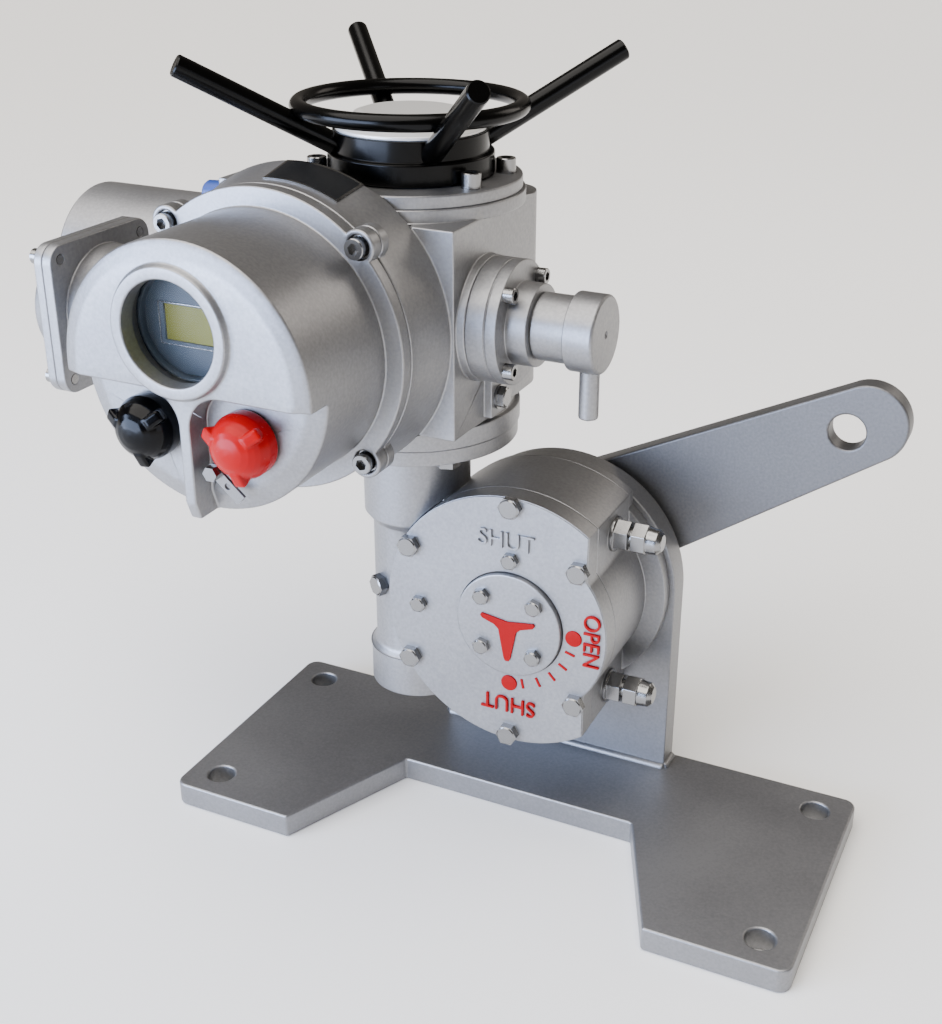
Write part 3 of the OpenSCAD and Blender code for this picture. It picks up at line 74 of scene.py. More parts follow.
# %% [markdown]
# ## The camera
# The photograph was taken from the front right and a little above. A camera that matches it needs three
# things: where it stands, how it is turned, and how long its lens is. Its place and turn were fitted to
# points measured in the photograph. The lens comes from the fitted focal length in pixels, and the small
# shift puts the lens axis where the fit found it.

# %% Place the camera
PHOTO_HIGH = 1024
PHOTO_WIDE = 942
FOCAL_PIXELS = 1425.2
AXIS_PIXEL = (500.5, 497.7)
CAMERA_PLACE = (0.4235, -0.9552, 0.7916)
CAMERA_DEGREES = (24.66, 24.73, 0.47)
FILM_SIDE = 36

turn, rise, roll = (math.radians(degrees) for degrees in CAMERA_DEGREES)
back = Vector((math.sin(turn) * math.cos(rise), -math.cos(turn) * math.cos(rise), math.sin(rise)))
level = Vector((math.cos(turn), math.sin(turn), 0))
above = back.cross(level)
right = math.cos(roll) * level + math.sin(roll) * above
up = math.cos(roll) * above - math.sin(roll) * level

bpy.ops.object.camera_add(location=CAMERA_PLACE)
camera = bpy.context.object
camera.rotation_euler = Matrix((right, up, back)).transposed().to_euler()
camera.data.sensor_width = FILM_SIDE
camera.data.lens = FOCAL_PIXELS / PHOTO_HIGH * FILM_SIDE
camera.data.shift_x = (PHOTO_WIDE / 2 - AXIS_PIXEL[0]) / PHOTO_HIGH
camera.data.shift_y = (AXIS_PIXEL[1] - PHOTO_HIGH / 2) / PHOTO_HIGH
camera.data.clip_end = 60
bpy.context.scene.camera = camera
print("lens in millimetres:", round(camera.data.lens, 1))

# %% [markdown]
# ## Helpers for colours and shader nodes
# A colour is written as the familiar #rrggbb, which is sRGB, and shaders want linear numbers, so one
# function converts every colour. A second one adds a shader node in one line.

# %% Write the helpers
def linear(code):
    """Turns an sRGB colour written as #rrggbb into the linear numbers that shaders take."""
    parts = [int(code[i:i + 2], 16) / 255 for i in (1, 3, 5)]
    return (*[c / 12.92 if c <= 0.04045 else ((c + 0.055) / 1.055) ** 2.4 for c in parts], 1)


def add_node(tree, kind, inputs=None, links=None, **settings):
    """Adds one shader node, with its settings, its socket values and what its sockets are linked to."""
    step = tree.nodes.new(kind)
    for name, value in settings.items():
        setattr(step, name, value)
    for name, value in (inputs or {}).items():
        step.inputs[name].default_value = value
    for name, source in (links or {}).items():
        tree.links.new(source, step.inputs[name])
    return step


def new_material(name):
    """An empty material with its Principled shader, ready for more nodes."""
    material = bpy.data.materials.new(name)
    material.use_nodes = True
    return material, material.node_tree, material.node_tree.nodes["Principled BSDF"]


def deselect_all():
    """Starts a piece with nothing selected, so that no tool acts on an earlier one."""
    bpy.ops.object.select_all(action="DESELECT")


# %% [markdown]
# ## Floor and light
# A metal paint shows what stands round it, so the light matters as much as the paint. One large cool light
# in front, low and to the left, gives the bright sheen on the faces that look forwards. A wide soft sun from
# above keeps the floor pale, and the dim warm world leaves the tops and the right sides darker.

# %% Make the floor and the lights
FLOOR_SIDE = 40
FLOOR_DROP = 0.0003
OBJECT_MIDDLE = Vector((-0.03, 0, 0.32))

deselect_all()
bpy.ops.mesh.primitive_plane_add(size=FLOOR_SIDE, location=(0, 0, -FLOOR_DROP))
floor = bpy.context.object
floor.name = "studio_floor"
# Matt paper spreads light evenly, so the floor shows soft shadows and no reflections.
floor_paper, _, shader = new_material("Matt_white_paper")
shader.inputs["Base Color"].default_value = linear("#FAFAF9")
shader.inputs["Roughness"].default_value = 0.9
floor.data.materials.append(floor_paper)

world = bpy.data.worlds.new("Pale_studio")
bpy.context.scene.world = world
world.use_nodes = True
world.node_tree.nodes["Background"].inputs["Color"].default_value = linear("#B9B1A8")
world.node_tree.nodes["Background"].inputs["Strength"].default_value = 0.4


def soft_light(name, place, wide, high, power, colour):
    """A rectangular area light that looks at the middle of the object."""
    bpy.ops.object.light_add(type="AREA", location=place)
    light = bpy.context.object
    light.name = name
    light.data.shape = "RECTANGLE"
    light.data.size = wide
    light.data.size_y = high
    light.data.energy = power
    light.data.color = linear(colour)[:3]
    aim = OBJECT_MIDDLE - light.location
    light.rotation_euler = aim.to_track_quat("-Z", "Y").to_euler()


soft_light("front_light", (-1.6, -2.4, 0.72), wide=2.8, high=1.4, power=235, colour="#C4D8FF")
soft_light("right_light", (2.3, -1.2, 0.7), wide=1.0, high=0.8, power=5, colour="#EAF0FF")
soft_light("rear_light", (1.4, 2.2, 1.8), wide=1.2, high=1.2, power=14, colour="#FFF6EC")

bpy.ops.object.light_add(type="SUN", rotation=(math.radians(20), math.radians(-12), 0))
sun = bpy.context.object
sun.name = "soft_sun"
sun.data.energy = 5.2
sun.data.angle = math.radians(70)
sun.data.color = linear("#FFFAF4")[:3]

# %% [markdown]
# ## Finishes
# Each finish is named for the real material. A metal paint is a mix of clear resin and flat aluminium
# flakes: it is nearly as metallic as bare metal but rougher, and on a casting it has a soft grain of
# a millimetre or two, which is drawn as bump over slow clouds of a slightly darker tone. Glitter flakes
# could be drawn one by one, but they are far finer than a pixel of this view, so only their sheen is kept.
#
# Blender's noise has lumps of about 0.6 of a unit at a scale of one, so 0.6 divided by the wanted size of
# a lump gives the scale.

# %% The painted castings and plates
NOISE_LUMP = 0.6
CLOUD_SCALE = 9
PAINT_METALLIC = 0.92


def metal_paint(name, light, dark, roughness, grain):
    """Metal paint over a rough surface. grain is the size of its soft bumps, in metres."""
    material, tree, shader = new_material(name)
    place = add_node(tree, "ShaderNodeTexCoord").outputs["Object"]
    clouds = add_node(tree, "ShaderNodeTexNoise", {"Scale": CLOUD_SCALE, "Detail": 3}, {"Vector": place})
    specks = add_node(tree, "ShaderNodeTexNoise", {"Scale": NOISE_LUMP / grain, "Detail": 2},
                      {"Vector": place})
    half = add_node(tree, "ShaderNodeMath", {1: 0.5}, {0: clouds.outputs["Fac"]}, operation="MULTIPLY")
    both = add_node(tree, "ShaderNodeMath", {1: 0.5}, {0: specks.outputs["Fac"], 2: half.outputs[0]},
                    operation="MULTIPLY_ADD")
    tint = add_node(tree, "ShaderNodeValToRGB", {}, {"Fac": both.outputs[0]})
    tint.color_ramp.elements[0].position = 0.36
    tint.color_ramp.elements[1].position = 0.64
    tint.color_ramp.elements[0].color = linear(dark)
    tint.color_ramp.elements[1].color = linear(light)
    tree.links.new(tint.outputs["Color"], shader.inputs["Base Color"])
    sheen = add_node(tree, "ShaderNodeMapRange", {"To Min": roughness - 0.05, "To Max": roughness + 0.06},
                     {"Value": clouds.outputs["Fac"]})
    tree.links.new(sheen.outputs["Result"], shader.inputs["Roughness"])
    shader.inputs["Metallic"].default_value = PAINT_METALLIC
    peel = add_node(tree, "ShaderNodeTexNoise", {"Scale": NOISE_LUMP / grain, "Detail": 4, "Roughness": 0.6},
                    {"Vector": place})
    bump = add_node(tree, "ShaderNodeBump", {"Strength": 0.5, "Distance": grain / 12},
                    {"Height": peel.outputs["Fac"]})
    tree.links.new(bump.outputs["Normal"], shader.inputs["Normal"])
    return material


# Sprayed on sand castings: pale satin silver with a fine orange-peel grain.
silver_paint = metal_paint("Silver_paint_on_castings", "#9D9D9E", "#8D8D8F", 0.44, 1.6 * MM)
# The same kind of paint on rolled plate: a shade greyer and finer in its grain.
grey_paint = metal_paint("Grey_paint_on_plate_steel", "#939394", "#868688", 0.46, 1.4 * MM)
# The lever wears a darker copy of the same grey paint. This is painted shade, so its flat face reads as mid
# grey beside the castings.
lever_shaded_grey_paint = metal_paint("Grey_paint_darkened_as_shade_on_lever_arm", "#747475", "#676769", 0.46, 1.4 * MM)
print("paints:", silver_paint.name, grey_paint.name, lever_shaded_grey_paint.name)


# %% [markdown]
# Bare metal needs little more than a base colour, a metallic of one and the right roughness, which varies
# a little over the surface. Enamel, rubber and moulded plastic come from the same function, most of them
# with no metallic at all. A black or red one also gets a lower specular level, or its reflections would
# turn it grey.

# %% Bare metals, enamels and plastics
def plain_finish(name, colour, roughness, metallic=0.0, uneven=0.06, grain=3 * MM, relief=0.05, **sockets):
    """A finish of one colour whose roughness and surface vary a little."""
    material, tree, shader = new_material(name)
    place = add_node(tree, "ShaderNodeTexCoord").outputs["Object"]
    noise = add_node(tree, "ShaderNodeTexNoise", {"Scale": NOISE_LUMP / grain, "Detail": 4},
                     {"Vector": place})
    spread = add_node(tree, "ShaderNodeMapRange",
                      {"To Min": roughness - uneven, "To Max": roughness + uneven},
                      {"Value": noise.outputs["Fac"]})
    tree.links.new(spread.outputs["Result"], shader.inputs["Roughness"])
    bump = add_node(tree, "ShaderNodeBump", {"Strength": relief, "Distance": grain / 10},
                    {"Height": noise.outputs["Fac"]})
    tree.links.new(bump.outputs["Normal"], shader.inputs["Normal"])
    shader.inputs["Base Color"].default_value = linear(colour)
    shader.inputs["Metallic"].default_value = metallic
    for socket, value in sockets.items():
        shader.inputs[socket.replace("_", " ")].default_value = value
    return material


# Rolled and turned stainless steel puts a clear bright glint on each screw.
stainless = plain_finish("Stainless_steel_screws", "#8C8C8C", 0.24, metallic=1.0)
# Ground steel inside the housings is paler and a little softer than the screws.
machined = plain_finish("Machined_steel", "#A9A8A4", 0.3, metallic=1.0)
# Gear bronze is a warm brown gold.
bronze = plain_finish("Gear_bronze", "#B07C3C", 0.32, metallic=1.0)
# Stacked sheets look like one dull grey block.
laminated = plain_finish("Laminated_motor_steel", "#5A5C60", 0.45, metallic=0.8)
# Anodised aluminium is nearly black with a faint metallic sheen.
plate_black = plain_finish("Black_anodised_plate", "#15171A", 0.36, metallic=0.3)
# Sprayed enamel on steel is deep black with long soft highlights.
black_enamel = plain_finish("Gloss_black_enamel", "#010101", 0.22, uneven=0.04, grain=8 * MM, relief=0.06,
                            Specular_IOR_Level=0.15)
# Enamel filled in by brush is a flat strong red.
red_enamel = plain_finish("Red_enamel", "#96000A", 0.5, Specular_IOR_Level=0.12)
# Moulded phenolic looks wet, with small sharp highlights.
black_plastic = plain_finish("Moulded_black_phenolic", "#010102", 0.16, uneven=0.03, grain=5 * MM,
                             relief=0.03, Specular_IOR_Level=0.15)
# Moulded red plastic has a softer gloss.
red_plastic = plain_finish("Moulded_red_plastic", "#A0000A", 0.26, uneven=0.04, grain=5 * MM,
                           relief=0.04, Specular_IOR_Level=0.15)
# Moulded nylon is dull, with hardly a highlight.
blue_nylon = plain_finish("Blue_moulded_nylon", "#1F3F86", 0.42)
black_nylon = plain_finish("Black_moulded_nylon", "#16171A", 0.45)
# The painted sheet behind the window is an even slate grey; on the sleeve in the window's bore the same
# finish is painted shade.
dark_panel_and_bore_shade = plain_finish("Dark_display_surround_and_bore_shade", "#3E4955", 0.4)
# Rubber is matt charcoal.
nitrile = plain_finish("Black_nitrile_rubber", "#111112", 0.62)
# A coated circuit board is dark green with a slight gloss.
board_green = plain_finish("Green_circuit_board", "#0E4A2C", 0.35)
print("finishes so far:", len(bpy.data.materials))


# %% [markdown]
# Three finishes have nodes of their own. The cap on the handwheel keeps the fine rings of the lathe, drawn
# by a ring wave round the handwheel's axis: a wave of scale one repeats every 0.314 of a unit. Real rings
# are a few tenths of a millimetre apart, too fine to show here, so they are drawn 1.2 mm apart. The window
# is thin clear glass. It could be left to refraction, but a low alpha gives the same look with far less
# noise. The display is olive like a liquid crystal panel and glows faintly.

# %% Turned metal, glass and the display
WAVE_REPEAT = 0.314
LATHE_RING = 1.2 * MM
DISPLAY_LUMP = 15 * MM


def turned_aluminium():
    """Aluminium with lathe rings round the handwheel's axis."""
    material, tree, shader = new_material("Turned_aluminium")
    axis_x, axis_y, _ = middle_of("hub_cap")
    place = add_node(tree, "ShaderNodeTexCoord").outputs["Object"]
    centred = add_node(tree, "ShaderNodeMapping", {"Location": (-axis_x, -axis_y, 0)}, {"Vector": place})
    rings = add_node(tree, "ShaderNodeTexWave",
                     {"Scale": WAVE_REPEAT / LATHE_RING, "Distortion": 0.6, "Detail": 1},
                     {"Vector": centred.outputs["Vector"]}, wave_type="RINGS", rings_direction="Z")
    bump = add_node(tree, "ShaderNodeBump", {"Strength": 0.12, "Distance": 0.1 * MM},
                    {"Height": rings.outputs["Fac"]})
    tree.links.new(bump.outputs["Normal"], shader.inputs["Normal"])
    shader.inputs["Base Color"].default_value = linear("#E0E0DE")
    shader.inputs["Metallic"].default_value = 0.4
    shader.inputs["Roughness"].default_value = 0.34
    return material


def window_glass():
    """Clear glass: nearly all of it lets light through, and the rest gives its gloss."""
    material, _, shader = new_material("Toughened_window_glass")
    shader.inputs["Base Color"].default_value = linear("#1C262C")
    shader.inputs["Roughness"].default_value = 0.03
    shader.inputs["IOR"].default_value = 1.5
    shader.inputs["Alpha"].default_value = 0.1
    return material


def liquid_crystal():
    """An olive panel of two close tones that gives off a little of its own light."""
    material, tree, shader = new_material("Liquid_crystal_display")
    place = add_node(tree, "ShaderNodeTexCoord").outputs["Object"]
    cells = add_node(tree, "ShaderNodeTexNoise", {"Scale": NOISE_LUMP / DISPLAY_LUMP, "Detail": 1},
                     {"Vector": place})
    tint = add_node(tree, "ShaderNodeValToRGB", {}, {"Fac": cells.outputs["Fac"]})
    tint.color_ramp.elements[0].color = linear("#6E6C08")
    tint.color_ramp.elements[1].color = linear("#78760E")
    tree.links.new(tint.outputs["Color"], shader.inputs["Base Color"])
    tree.links.new(tint.outputs["Color"], shader.inputs["Emission Color"])
    shader.inputs["Emission Strength"].default_value = 0.15
    shader.inputs["Roughness"].default_value = 0.3
    return material


turned = turned_aluminium()
glass = window_glass()
lcd = liquid_crystal()
print("finishes:", len(bpy.data.materials))

# %% [markdown]
# The CAD nodes keep their shapes and take these finishes through their material slots. Each could be given
# its finish in a line of its own, but one table of finishes and nodes is easier to check, and what is left
# over after it can be printed.

# %% Give every CAD node its finish
FINISHES = {
    silver_paint: "gearbox_housing gearbox_cover pointer_disc gearcase top_cover motor_housing "
                  "clutch_housing hand_lever control_cover terminal_cover worm_end_cap",
    grey_paint: "base_plate upright_plate weld_beads",
    lever_shaded_grey_paint: "lever_arm",
    stainless: "cover_bolts grease_plugs mounting_screws pointer_screws stop_screws stop_nuts flange_bolts "
               "earth_screw top_screws clutch_screws cover_screws lock_screw lock_tab terminal_screws",
    machined: "lever_shaft shaft_keys lever_retainer gearbox_worm worm_bearings drive_sleeve column_bearings "
              "clutch_ring motor_rotor motor_bearings shift_shaft",
    bronze: "shaft_bushes worm_quadrant worm_wheel",
    nitrile: "cover_gasket shaft_seal control_gasket",
    black_enamel: "handwheel_hub handwheel_rim handwheel_bars",
    turned: "hub_cap",
    laminated: "motor_stator",
    red_enamel: "pointer_arrow",
    black_plastic: "control_knob",
    red_plastic: "selector_knob",
    blue_nylon: "cable_plug",
    glass: "window_glass",
    dark_panel_and_bore_shade: "display_frame",
    lcd: "display_panel",
    board_green: "circuit_boards",
    black_nylon: "terminal_block",
}
for finish, names in FINISHES.items():
    for name in names.split():
        mesh = frame["nodes"][name].data
        mesh.materials.clear()
        mesh.materials.append(finish)
missing = set(frame["nodes"]) - {name for names in FINISHES.values() for name in names.split()}
print("nodes with no finish:", sorted(missing))

# %% [markdown]
# ## Rounding a casting's edges
# No casting or flame-cut plate has a truly sharp edge. A shader could soften the light along an edge, but
# the outline would stay sharp, so the edges are really rounded. A copy of a CAD node is joined into one
# skin, and a Bevel modifier rounds every edge that turns by more than a limit. Three large pieces are first
# made of few flat faces, which keeps their bevels even. Weighted normals then let the big faces stay flat,
# so that only the narrow new faces bend the light. The copy stands for the node.

# %% Round the edges of the main forms
SKIN_GAP = 0.01 * MM
FLAT_ANGLE = math.radians(0.6)
EDGE_ANGLE = math.radians(38)
SMOOTH_ANGLE = math.radians(35)
EDGE_WIDTHS_MM = {
    "base_plate": 2, "lever_arm": 2, "gearcase": 1.2, "upright_plate": 1.4, "gearbox_housing": 1.0,
    "gearbox_cover": 0.35, "control_cover": 1.4, "terminal_cover": 1.2, "clutch_housing": 0.8,
    "top_cover": 0.8, "pointer_disc": 0.6, "pointer_arrow": 0.5, "handwheel_hub": 0.8, "hub_cap": 0.8,
    "hand_lever": 1.0, "stop_nuts": 0.5, "motor_housing": 1.0,
}
OF_FEW_FACES = ("base_plate", "lever_arm", "gearcase")


def apply_last_modifier(piece):
    """Turns the modifier that was added last into real faces."""
    bpy.ops.object.modifier_apply(modifier=piece.modifiers[-1].name)


def rounded(node, width, few_faces):
    """Copies a CAD node, joins its loose triangles and rounds its edges by width."""
    deselect_all()
    piece = bpy.data.objects.new(node + "_rounded", frame["nodes"][node].data.copy())
    bpy.context.collection.objects.link(piece)
    bpy.context.view_layer.objects.active = piece
    piece.select_set(True)
    bpy.ops.object.mode_set(mode="EDIT")
    bpy.ops.mesh.select_all(action="SELECT")
    bpy.ops.mesh.remove_doubles(threshold=SKIN_GAP)
    if few_faces:
        bpy.ops.mesh.dissolve_limited(angle_limit=FLAT_ANGLE)
    bpy.ops.object.mode_set(mode="OBJECT")
    bpy.ops.object.modifier_add(type="BEVEL")
    bevel = piece.modifiers[-1]
    bevel.width = width
    bevel.segments = 2
    bevel.limit_method = "ANGLE"
    bevel.angle_limit = EDGE_ANGLE
    bevel.use_clamp_overlap = False
    bevel.miter_outer = "MITER_ARC"
    apply_last_modifier(piece)
    bpy.ops.object.shade_smooth_by_angle(angle=SMOOTH_ANGLE)
    bpy.ops.object.modifier_add(type="WEIGHTED_NORMAL")
    piece.modifiers[-1].weight = 90
    piece.modifiers[-1].keep_sharp = True
    apply_last_modifier(piece)
    for body, members in frame["record"]["behaviour"]["bodies"].items():
        if node in members:
            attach(piece, body)
    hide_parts(node)
    return piece


for node, width in EDGE_WIDTHS_MM.items():
    piece = rounded(node, width * MM, node in OF_FEW_FACES)
    print(piece.name, len(piece.data.polygons), "faces")

# %% [markdown]
# A weld bead is a round ridge that fills the corner between two plates, and it swells and narrows a little
# with each step of the welder's hand. Bump on a plain ridge would leave its outline straight, so the ripple
# is put into the shape. A path runs along the foot of the upright plate with a point for every half step,
# and the curve's own round bevel is a little thicker at every other point.

# %% Lay the weld beads
upright_low, upright_high = box_of("upright_plate")
FOOT_TOP = upright_low[2]
FOOT_SIDE = upright_high[0]
FOOT_FRONT, FOOT_BACK = upright_low[1], upright_high[1]
WELD_STEP = 2.6 * MM
WELD_STOPS_SHORT = 0.003
FRONT_BEAD = 4.4 * MM
SIDE_BEAD = 4.8 * MM
RIPPLE_HIGH, RIPPLE_LOW, RIPPLE_END = 1.0, 0.9, 0.7


def weld_bead(name, start, end, radius):
    """A bead from start to end whose thickness ripples along its length."""
    deselect_all()
    start, end = Vector(start), Vector(end)
    steps = max(4, round((end - start).length / WELD_STEP * 2))
    path = bpy.data.curves.new(name, "CURVE")
    path.dimensions = "3D"
    path.bevel_depth = radius
    path.bevel_resolution = 4
    line = path.splines.new("POLY")
    line.points.add(steps)
    for number, point in enumerate(line.points):
        point.co = (*start.lerp(end, number / steps), 1)
        point.radius = RIPPLE_HIGH if number % 2 else RIPPLE_LOW
    line.points[0].radius = RIPPLE_END
    line.points[-1].radius = RIPPLE_END
    path.use_fill_caps = True
    bead = bpy.data.objects.new(name, path)
    bpy.context.collection.objects.link(bead)
    bpy.context.view_layer.objects.active = bead
    bead.select_set(True)
    bpy.ops.object.convert(target="MESH")
    bead = bpy.context.object
    bpy.ops.object.modifier_add(type="SMOOTH")
    bead.modifiers[-1].iterations = 1
    apply_last_modifier(bead)
    bpy.ops.object.shade_smooth()
    bead.data.materials.append(grey_paint)
    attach(bead, "frame")
    print(name, "has", steps, "half steps")
    return bead


weld_bead("weld_front", (-FOOT_SIDE, FOOT_FRONT, FOOT_TOP), (FOOT_SIDE, FOOT_FRONT, FOOT_TOP), FRONT_BEAD)
for name, side in (("weld_left", -FOOT_SIDE), ("weld_right", FOOT_SIDE)):
    bead = weld_bead(name, (side, FOOT_FRONT, FOOT_TOP), (side, FOOT_BACK - WELD_STOPS_SHORT, FOOT_TOP),
                     SIDE_BEAD)
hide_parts("weld_beads")

# %% [markdown]
# ## Words and marks on the gearbox cover
# The cover tells where the pointer stands. Its three words are cast in relief: the upper one keeps the
# housing's paint, and the other two are painted red. Their sides catch the light, so they are modelled and
# not drawn on as a pattern. Text is made as text, given a little depth, and turned into a mesh before it is
# moved, so that its place lives in the mesh. Scaling to a measured width and height matches the casting's
# letters.

# %% Raise the words
COVER_FRONT = box_of("gearbox_cover")[0][1]
CAPITAL_HEIGHT = 0.73
LETTER_DEPTH = 1.9 * MM
LETTER_THINNED = 0.25 * MM
LETTER_EDGE = 0.3 * MM


def raised_word(name, word, x, z, wide, high, turned_by, finish):
    """A word on the cover. x and z are its middle, measured from the shaft."""
    deselect_all()
    bpy.ops.object.text_add(location=(0, 0, 0))
    text = bpy.context.object
    text.name = name
    text.data.body = word
    text.data.size = high / CAPITAL_HEIGHT
    text.data.align_x = "CENTER"
    text.data.align_y = "CENTER"
    text.data.extrude = LETTER_DEPTH
    text.data.offset = -LETTER_THINNED
    text.data.bevel_depth = LETTER_EDGE
    text.data.bevel_resolution = 1
    bpy.context.view_layer.update()
    text.scale = (wide / text.dimensions.x, high / text.dimensions.y, 1)
    text.rotation_euler = (math.radians(90), math.radians(turned_by), 0)
    text.location = (x, COVER_FRONT, SHAFT_Z + z)
    bpy.ops.object.convert(target="MESH")
    bpy.ops.object.transform_apply(location=True, rotation=True, scale=True)
    piece = bpy.context.object
    piece.data.materials.append(finish)
    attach(piece, "frame")
    print(name, "measures", [round(d / MM, 1) for d in piece.dimensions])


raised_word("word_shut_cast", "SHUT", x=-4 * MM, z=76 * MM, wide=50 * MM, high=15 * MM,
            turned_by=0, finish=silver_paint)
raised_word("word_shut_red", "SHUT", x=-0.5 * MM, z=-78 * MM, wide=50 * MM, high=15 * MM,
            turned_by=180, finish=red_enamel)
raised_word("word_open_red", "OPEN", x=72.5 * MM, z=1 * MM, wide=48 * MM, high=14.5 * MM,
            turned_by=90, finish=red_enamel)

# %% [markdown]
# The two round marks and the five ticks stand on a dial round the shaft, from shut at the bottom to open on
# the right. Each starts as a primitive of the right size, and its edges are bevelled, because cast marks
# have soft tops and a sharp edge would shine like cut metal.

# %% Make the round marks and the ticks
MARK_DIAL = 57.3 * MM
MARK_RADIUS = 7.3 * MM
MARK_DEPTH = 2.4 * MM
MARK_EDGE = 0.7 * MM
TICK_DIAL = 56.5 * MM
TICK_SIZE = (9 * MM, 1.6 * MM, 2.2 * MM)
TICK_EDGE = 0.3 * MM
TICK_ANGLES = (-15.5, -31, -46.5, -62, -77.5)


def soften_edges(piece, width, segments=2):
    """Bevels every sharp edge of a piece and shades it smooth."""
    bpy.context.view_layer.objects.active = piece
    bpy.ops.object.modifier_add(type="BEVEL")
    piece.modifiers[-1].width = width
    piece.modifiers[-1].segments = segments
    piece.modifiers[-1].limit_method = "ANGLE"
    apply_last_modifier(piece)
    bpy.ops.object.shade_smooth_by_angle(angle=math.radians(40))


def on_dial(radius, degrees):
    """The place on the cover's face at a radius and an angle round the shaft."""
    angle = math.radians(degrees)
    return Vector((radius * math.cos(angle), COVER_FRONT, SHAFT_Z + radius * math.sin(angle)))


for name, degrees in (("mark_open", 0), ("mark_shut", -90)):
    deselect_all()
    bpy.ops.mesh.primitive_cylinder_add(vertices=40, radius=MARK_RADIUS, depth=MARK_DEPTH,
                                        rotation=(math.radians(90), 0, 0),
                                        location=on_dial(MARK_DIAL, degrees))
    mark = bpy.context.object
    mark.name = name
    bpy.ops.object.transform_apply(location=True, rotation=True)
    soften_edges(mark, MARK_EDGE, segments=3)
    mark.data.materials.append(red_enamel)
    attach(mark, "frame")

for number, degrees in enumerate(TICK_ANGLES, 1):
    deselect_all()
    bpy.ops.mesh.primitive_cube_add(size=1, location=on_dial(TICK_DIAL, degrees),
                                    rotation=(0, -math.radians(degrees), 0))
    tick = bpy.context.object
    tick.name = f"tick_{number}"
    tick.scale = TICK_SIZE
    bpy.ops.object.transform_apply(location=True, rotation=True, scale=True)
    soften_edges(tick, TICK_EDGE)
    tick.data.materials.append(red_enamel)
    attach(tick, "frame")
print("ticks:", len(TICK_ANGLES))

# %% [markdown]
# ## The bare plate on the electrical housing
# A thin metal plate lies on top of the drum-shaped housing and follows its curve. A flat plate could be
# bent to fit, but the side of a cone with the housing's own taper already has the curve. So the plate is
# cut out of such a cone, one face to each degree, and thickened outwards. Its field is black inside a
# narrow bright rim.

# %% Bend the plate round the housing
DRUM_X, _, DRUM_Z = middle_of("control_cover")
DRUM_FRONT, DRUM_BACK = -0.0895, -0.051
DRUM_FRONT_RADIUS = 0.116
DRUM_WIDENS = 0.0075
PLATE_FRONT, PLATE_BACK = -0.0875, -0.0535
PLATE_MIDDLE = (PLATE_FRONT + PLATE_BACK) / 2
PLATE_FROM, PLATE_TO = 64, 95
PLATE_THICK = 0.8 * MM
PLATE_RIM = 2 * MM


def drum_radius(y):
    """Radius of the housing's tapered side at a depth y."""
    return DRUM_FRONT_RADIUS + DRUM_WIDENS * (y - DRUM_FRONT) / (DRUM_BACK - DRUM_FRONT)


deselect_all()
bpy.ops.mesh.primitive_cone_add(vertices=360, radius1=drum_radius(PLATE_BACK),
                                radius2=drum_radius(PLATE_FRONT), depth=PLATE_BACK - PLATE_FRONT,
                                end_fill_type="NOTHING", rotation=(math.radians(90), 0, 0),
                                location=(DRUM_X, PLATE_MIDDLE, DRUM_Z))
plate = bpy.context.object
plate.name = "bare_plate"
bpy.ops.object.transform_apply(location=True, rotation=True)
bpy.ops.object.mode_set(mode="EDIT")
bpy.ops.mesh.select_all(action="DESELECT")
bpy.ops.object.mode_set(mode="OBJECT")
for face in plate.data.polygons:
    angle = math.degrees(math.atan2(face.center.z - DRUM_Z, face.center.x - DRUM_X))
    face.select = not PLATE_FROM < angle < PLATE_TO
bpy.ops.object.mode_set(mode="EDIT")
bpy.ops.mesh.delete(type="FACE")
bpy.ops.mesh.select_all(action="SELECT")
bpy.ops.mesh.inset(thickness=PLATE_RIM, use_boundary=True)
bpy.ops.object.mode_set(mode="OBJECT")
plate.data.materials.append(stainless)
plate.data.materials.append(plate_black)
for face in plate.data.polygons:
    face.material_index = 1 if face.select else 0
bpy.ops.object.modifier_add(type="SOLIDIFY")
plate.modifiers[-1].thickness = PLATE_THICK
plate.modifiers[-1].offset = 1
apply_last_modifier(plate)
bpy.ops.object.shade_smooth_by_angle(angle=math.radians(30))
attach(plate, "frame")
print("plate faces:", len(plate.data.polygons))

# %% [markdown]
# ## The two knobs
# Moulded knobs have no hard edges: a round body, a domed cap and three finger lobes flow into each other.
# The lobes could be bridged to the body by hand, but where they meet a dome that is slow and uneven. So the
# body is a disc that is extruded and resized up a profile, the lobes are soft blocks that lean outwards,
# and a voxel remesh melds them into one skin before it is smoothed.

# %% Mould the knobs
KNOB_PROFILE_MM = (
    (22.8, 0), (23.8, 0.8), (24.0, 2), (24.0, 10.6), (23.4, 12), (22.6, 14.6), (21.2, 18), (18.8, 21.3),
    (15.4, 24.4), (11.0, 26.8), (5.6, 28.3), (0.6, 28.9),
)
KNOB_SIDES = 64
KNOB_BACK = -0.198
KNOB_Z = 0.4123
KNOB_FROM_MIDDLE = 0.0404
LOBE_ANGLES = (38, 158, 278)
LOBE_SIZE = (14 * MM, 9.4 * MM, 13 * MM)
LOBE_RADIUS = 18.4 * MM
LOBE_HEIGHT = 17 * MM
LOBE_LEAN = math.radians(24)
LOBE_EDGE = 2.2 * MM
STEM_RADIUS = 5 * MM
STEM_LENGTH = 12 * MM
STEM_MIDDLE = -5 * MM
VOXEL = 0.7 * MM
SMOOTHING_PASSES = 7


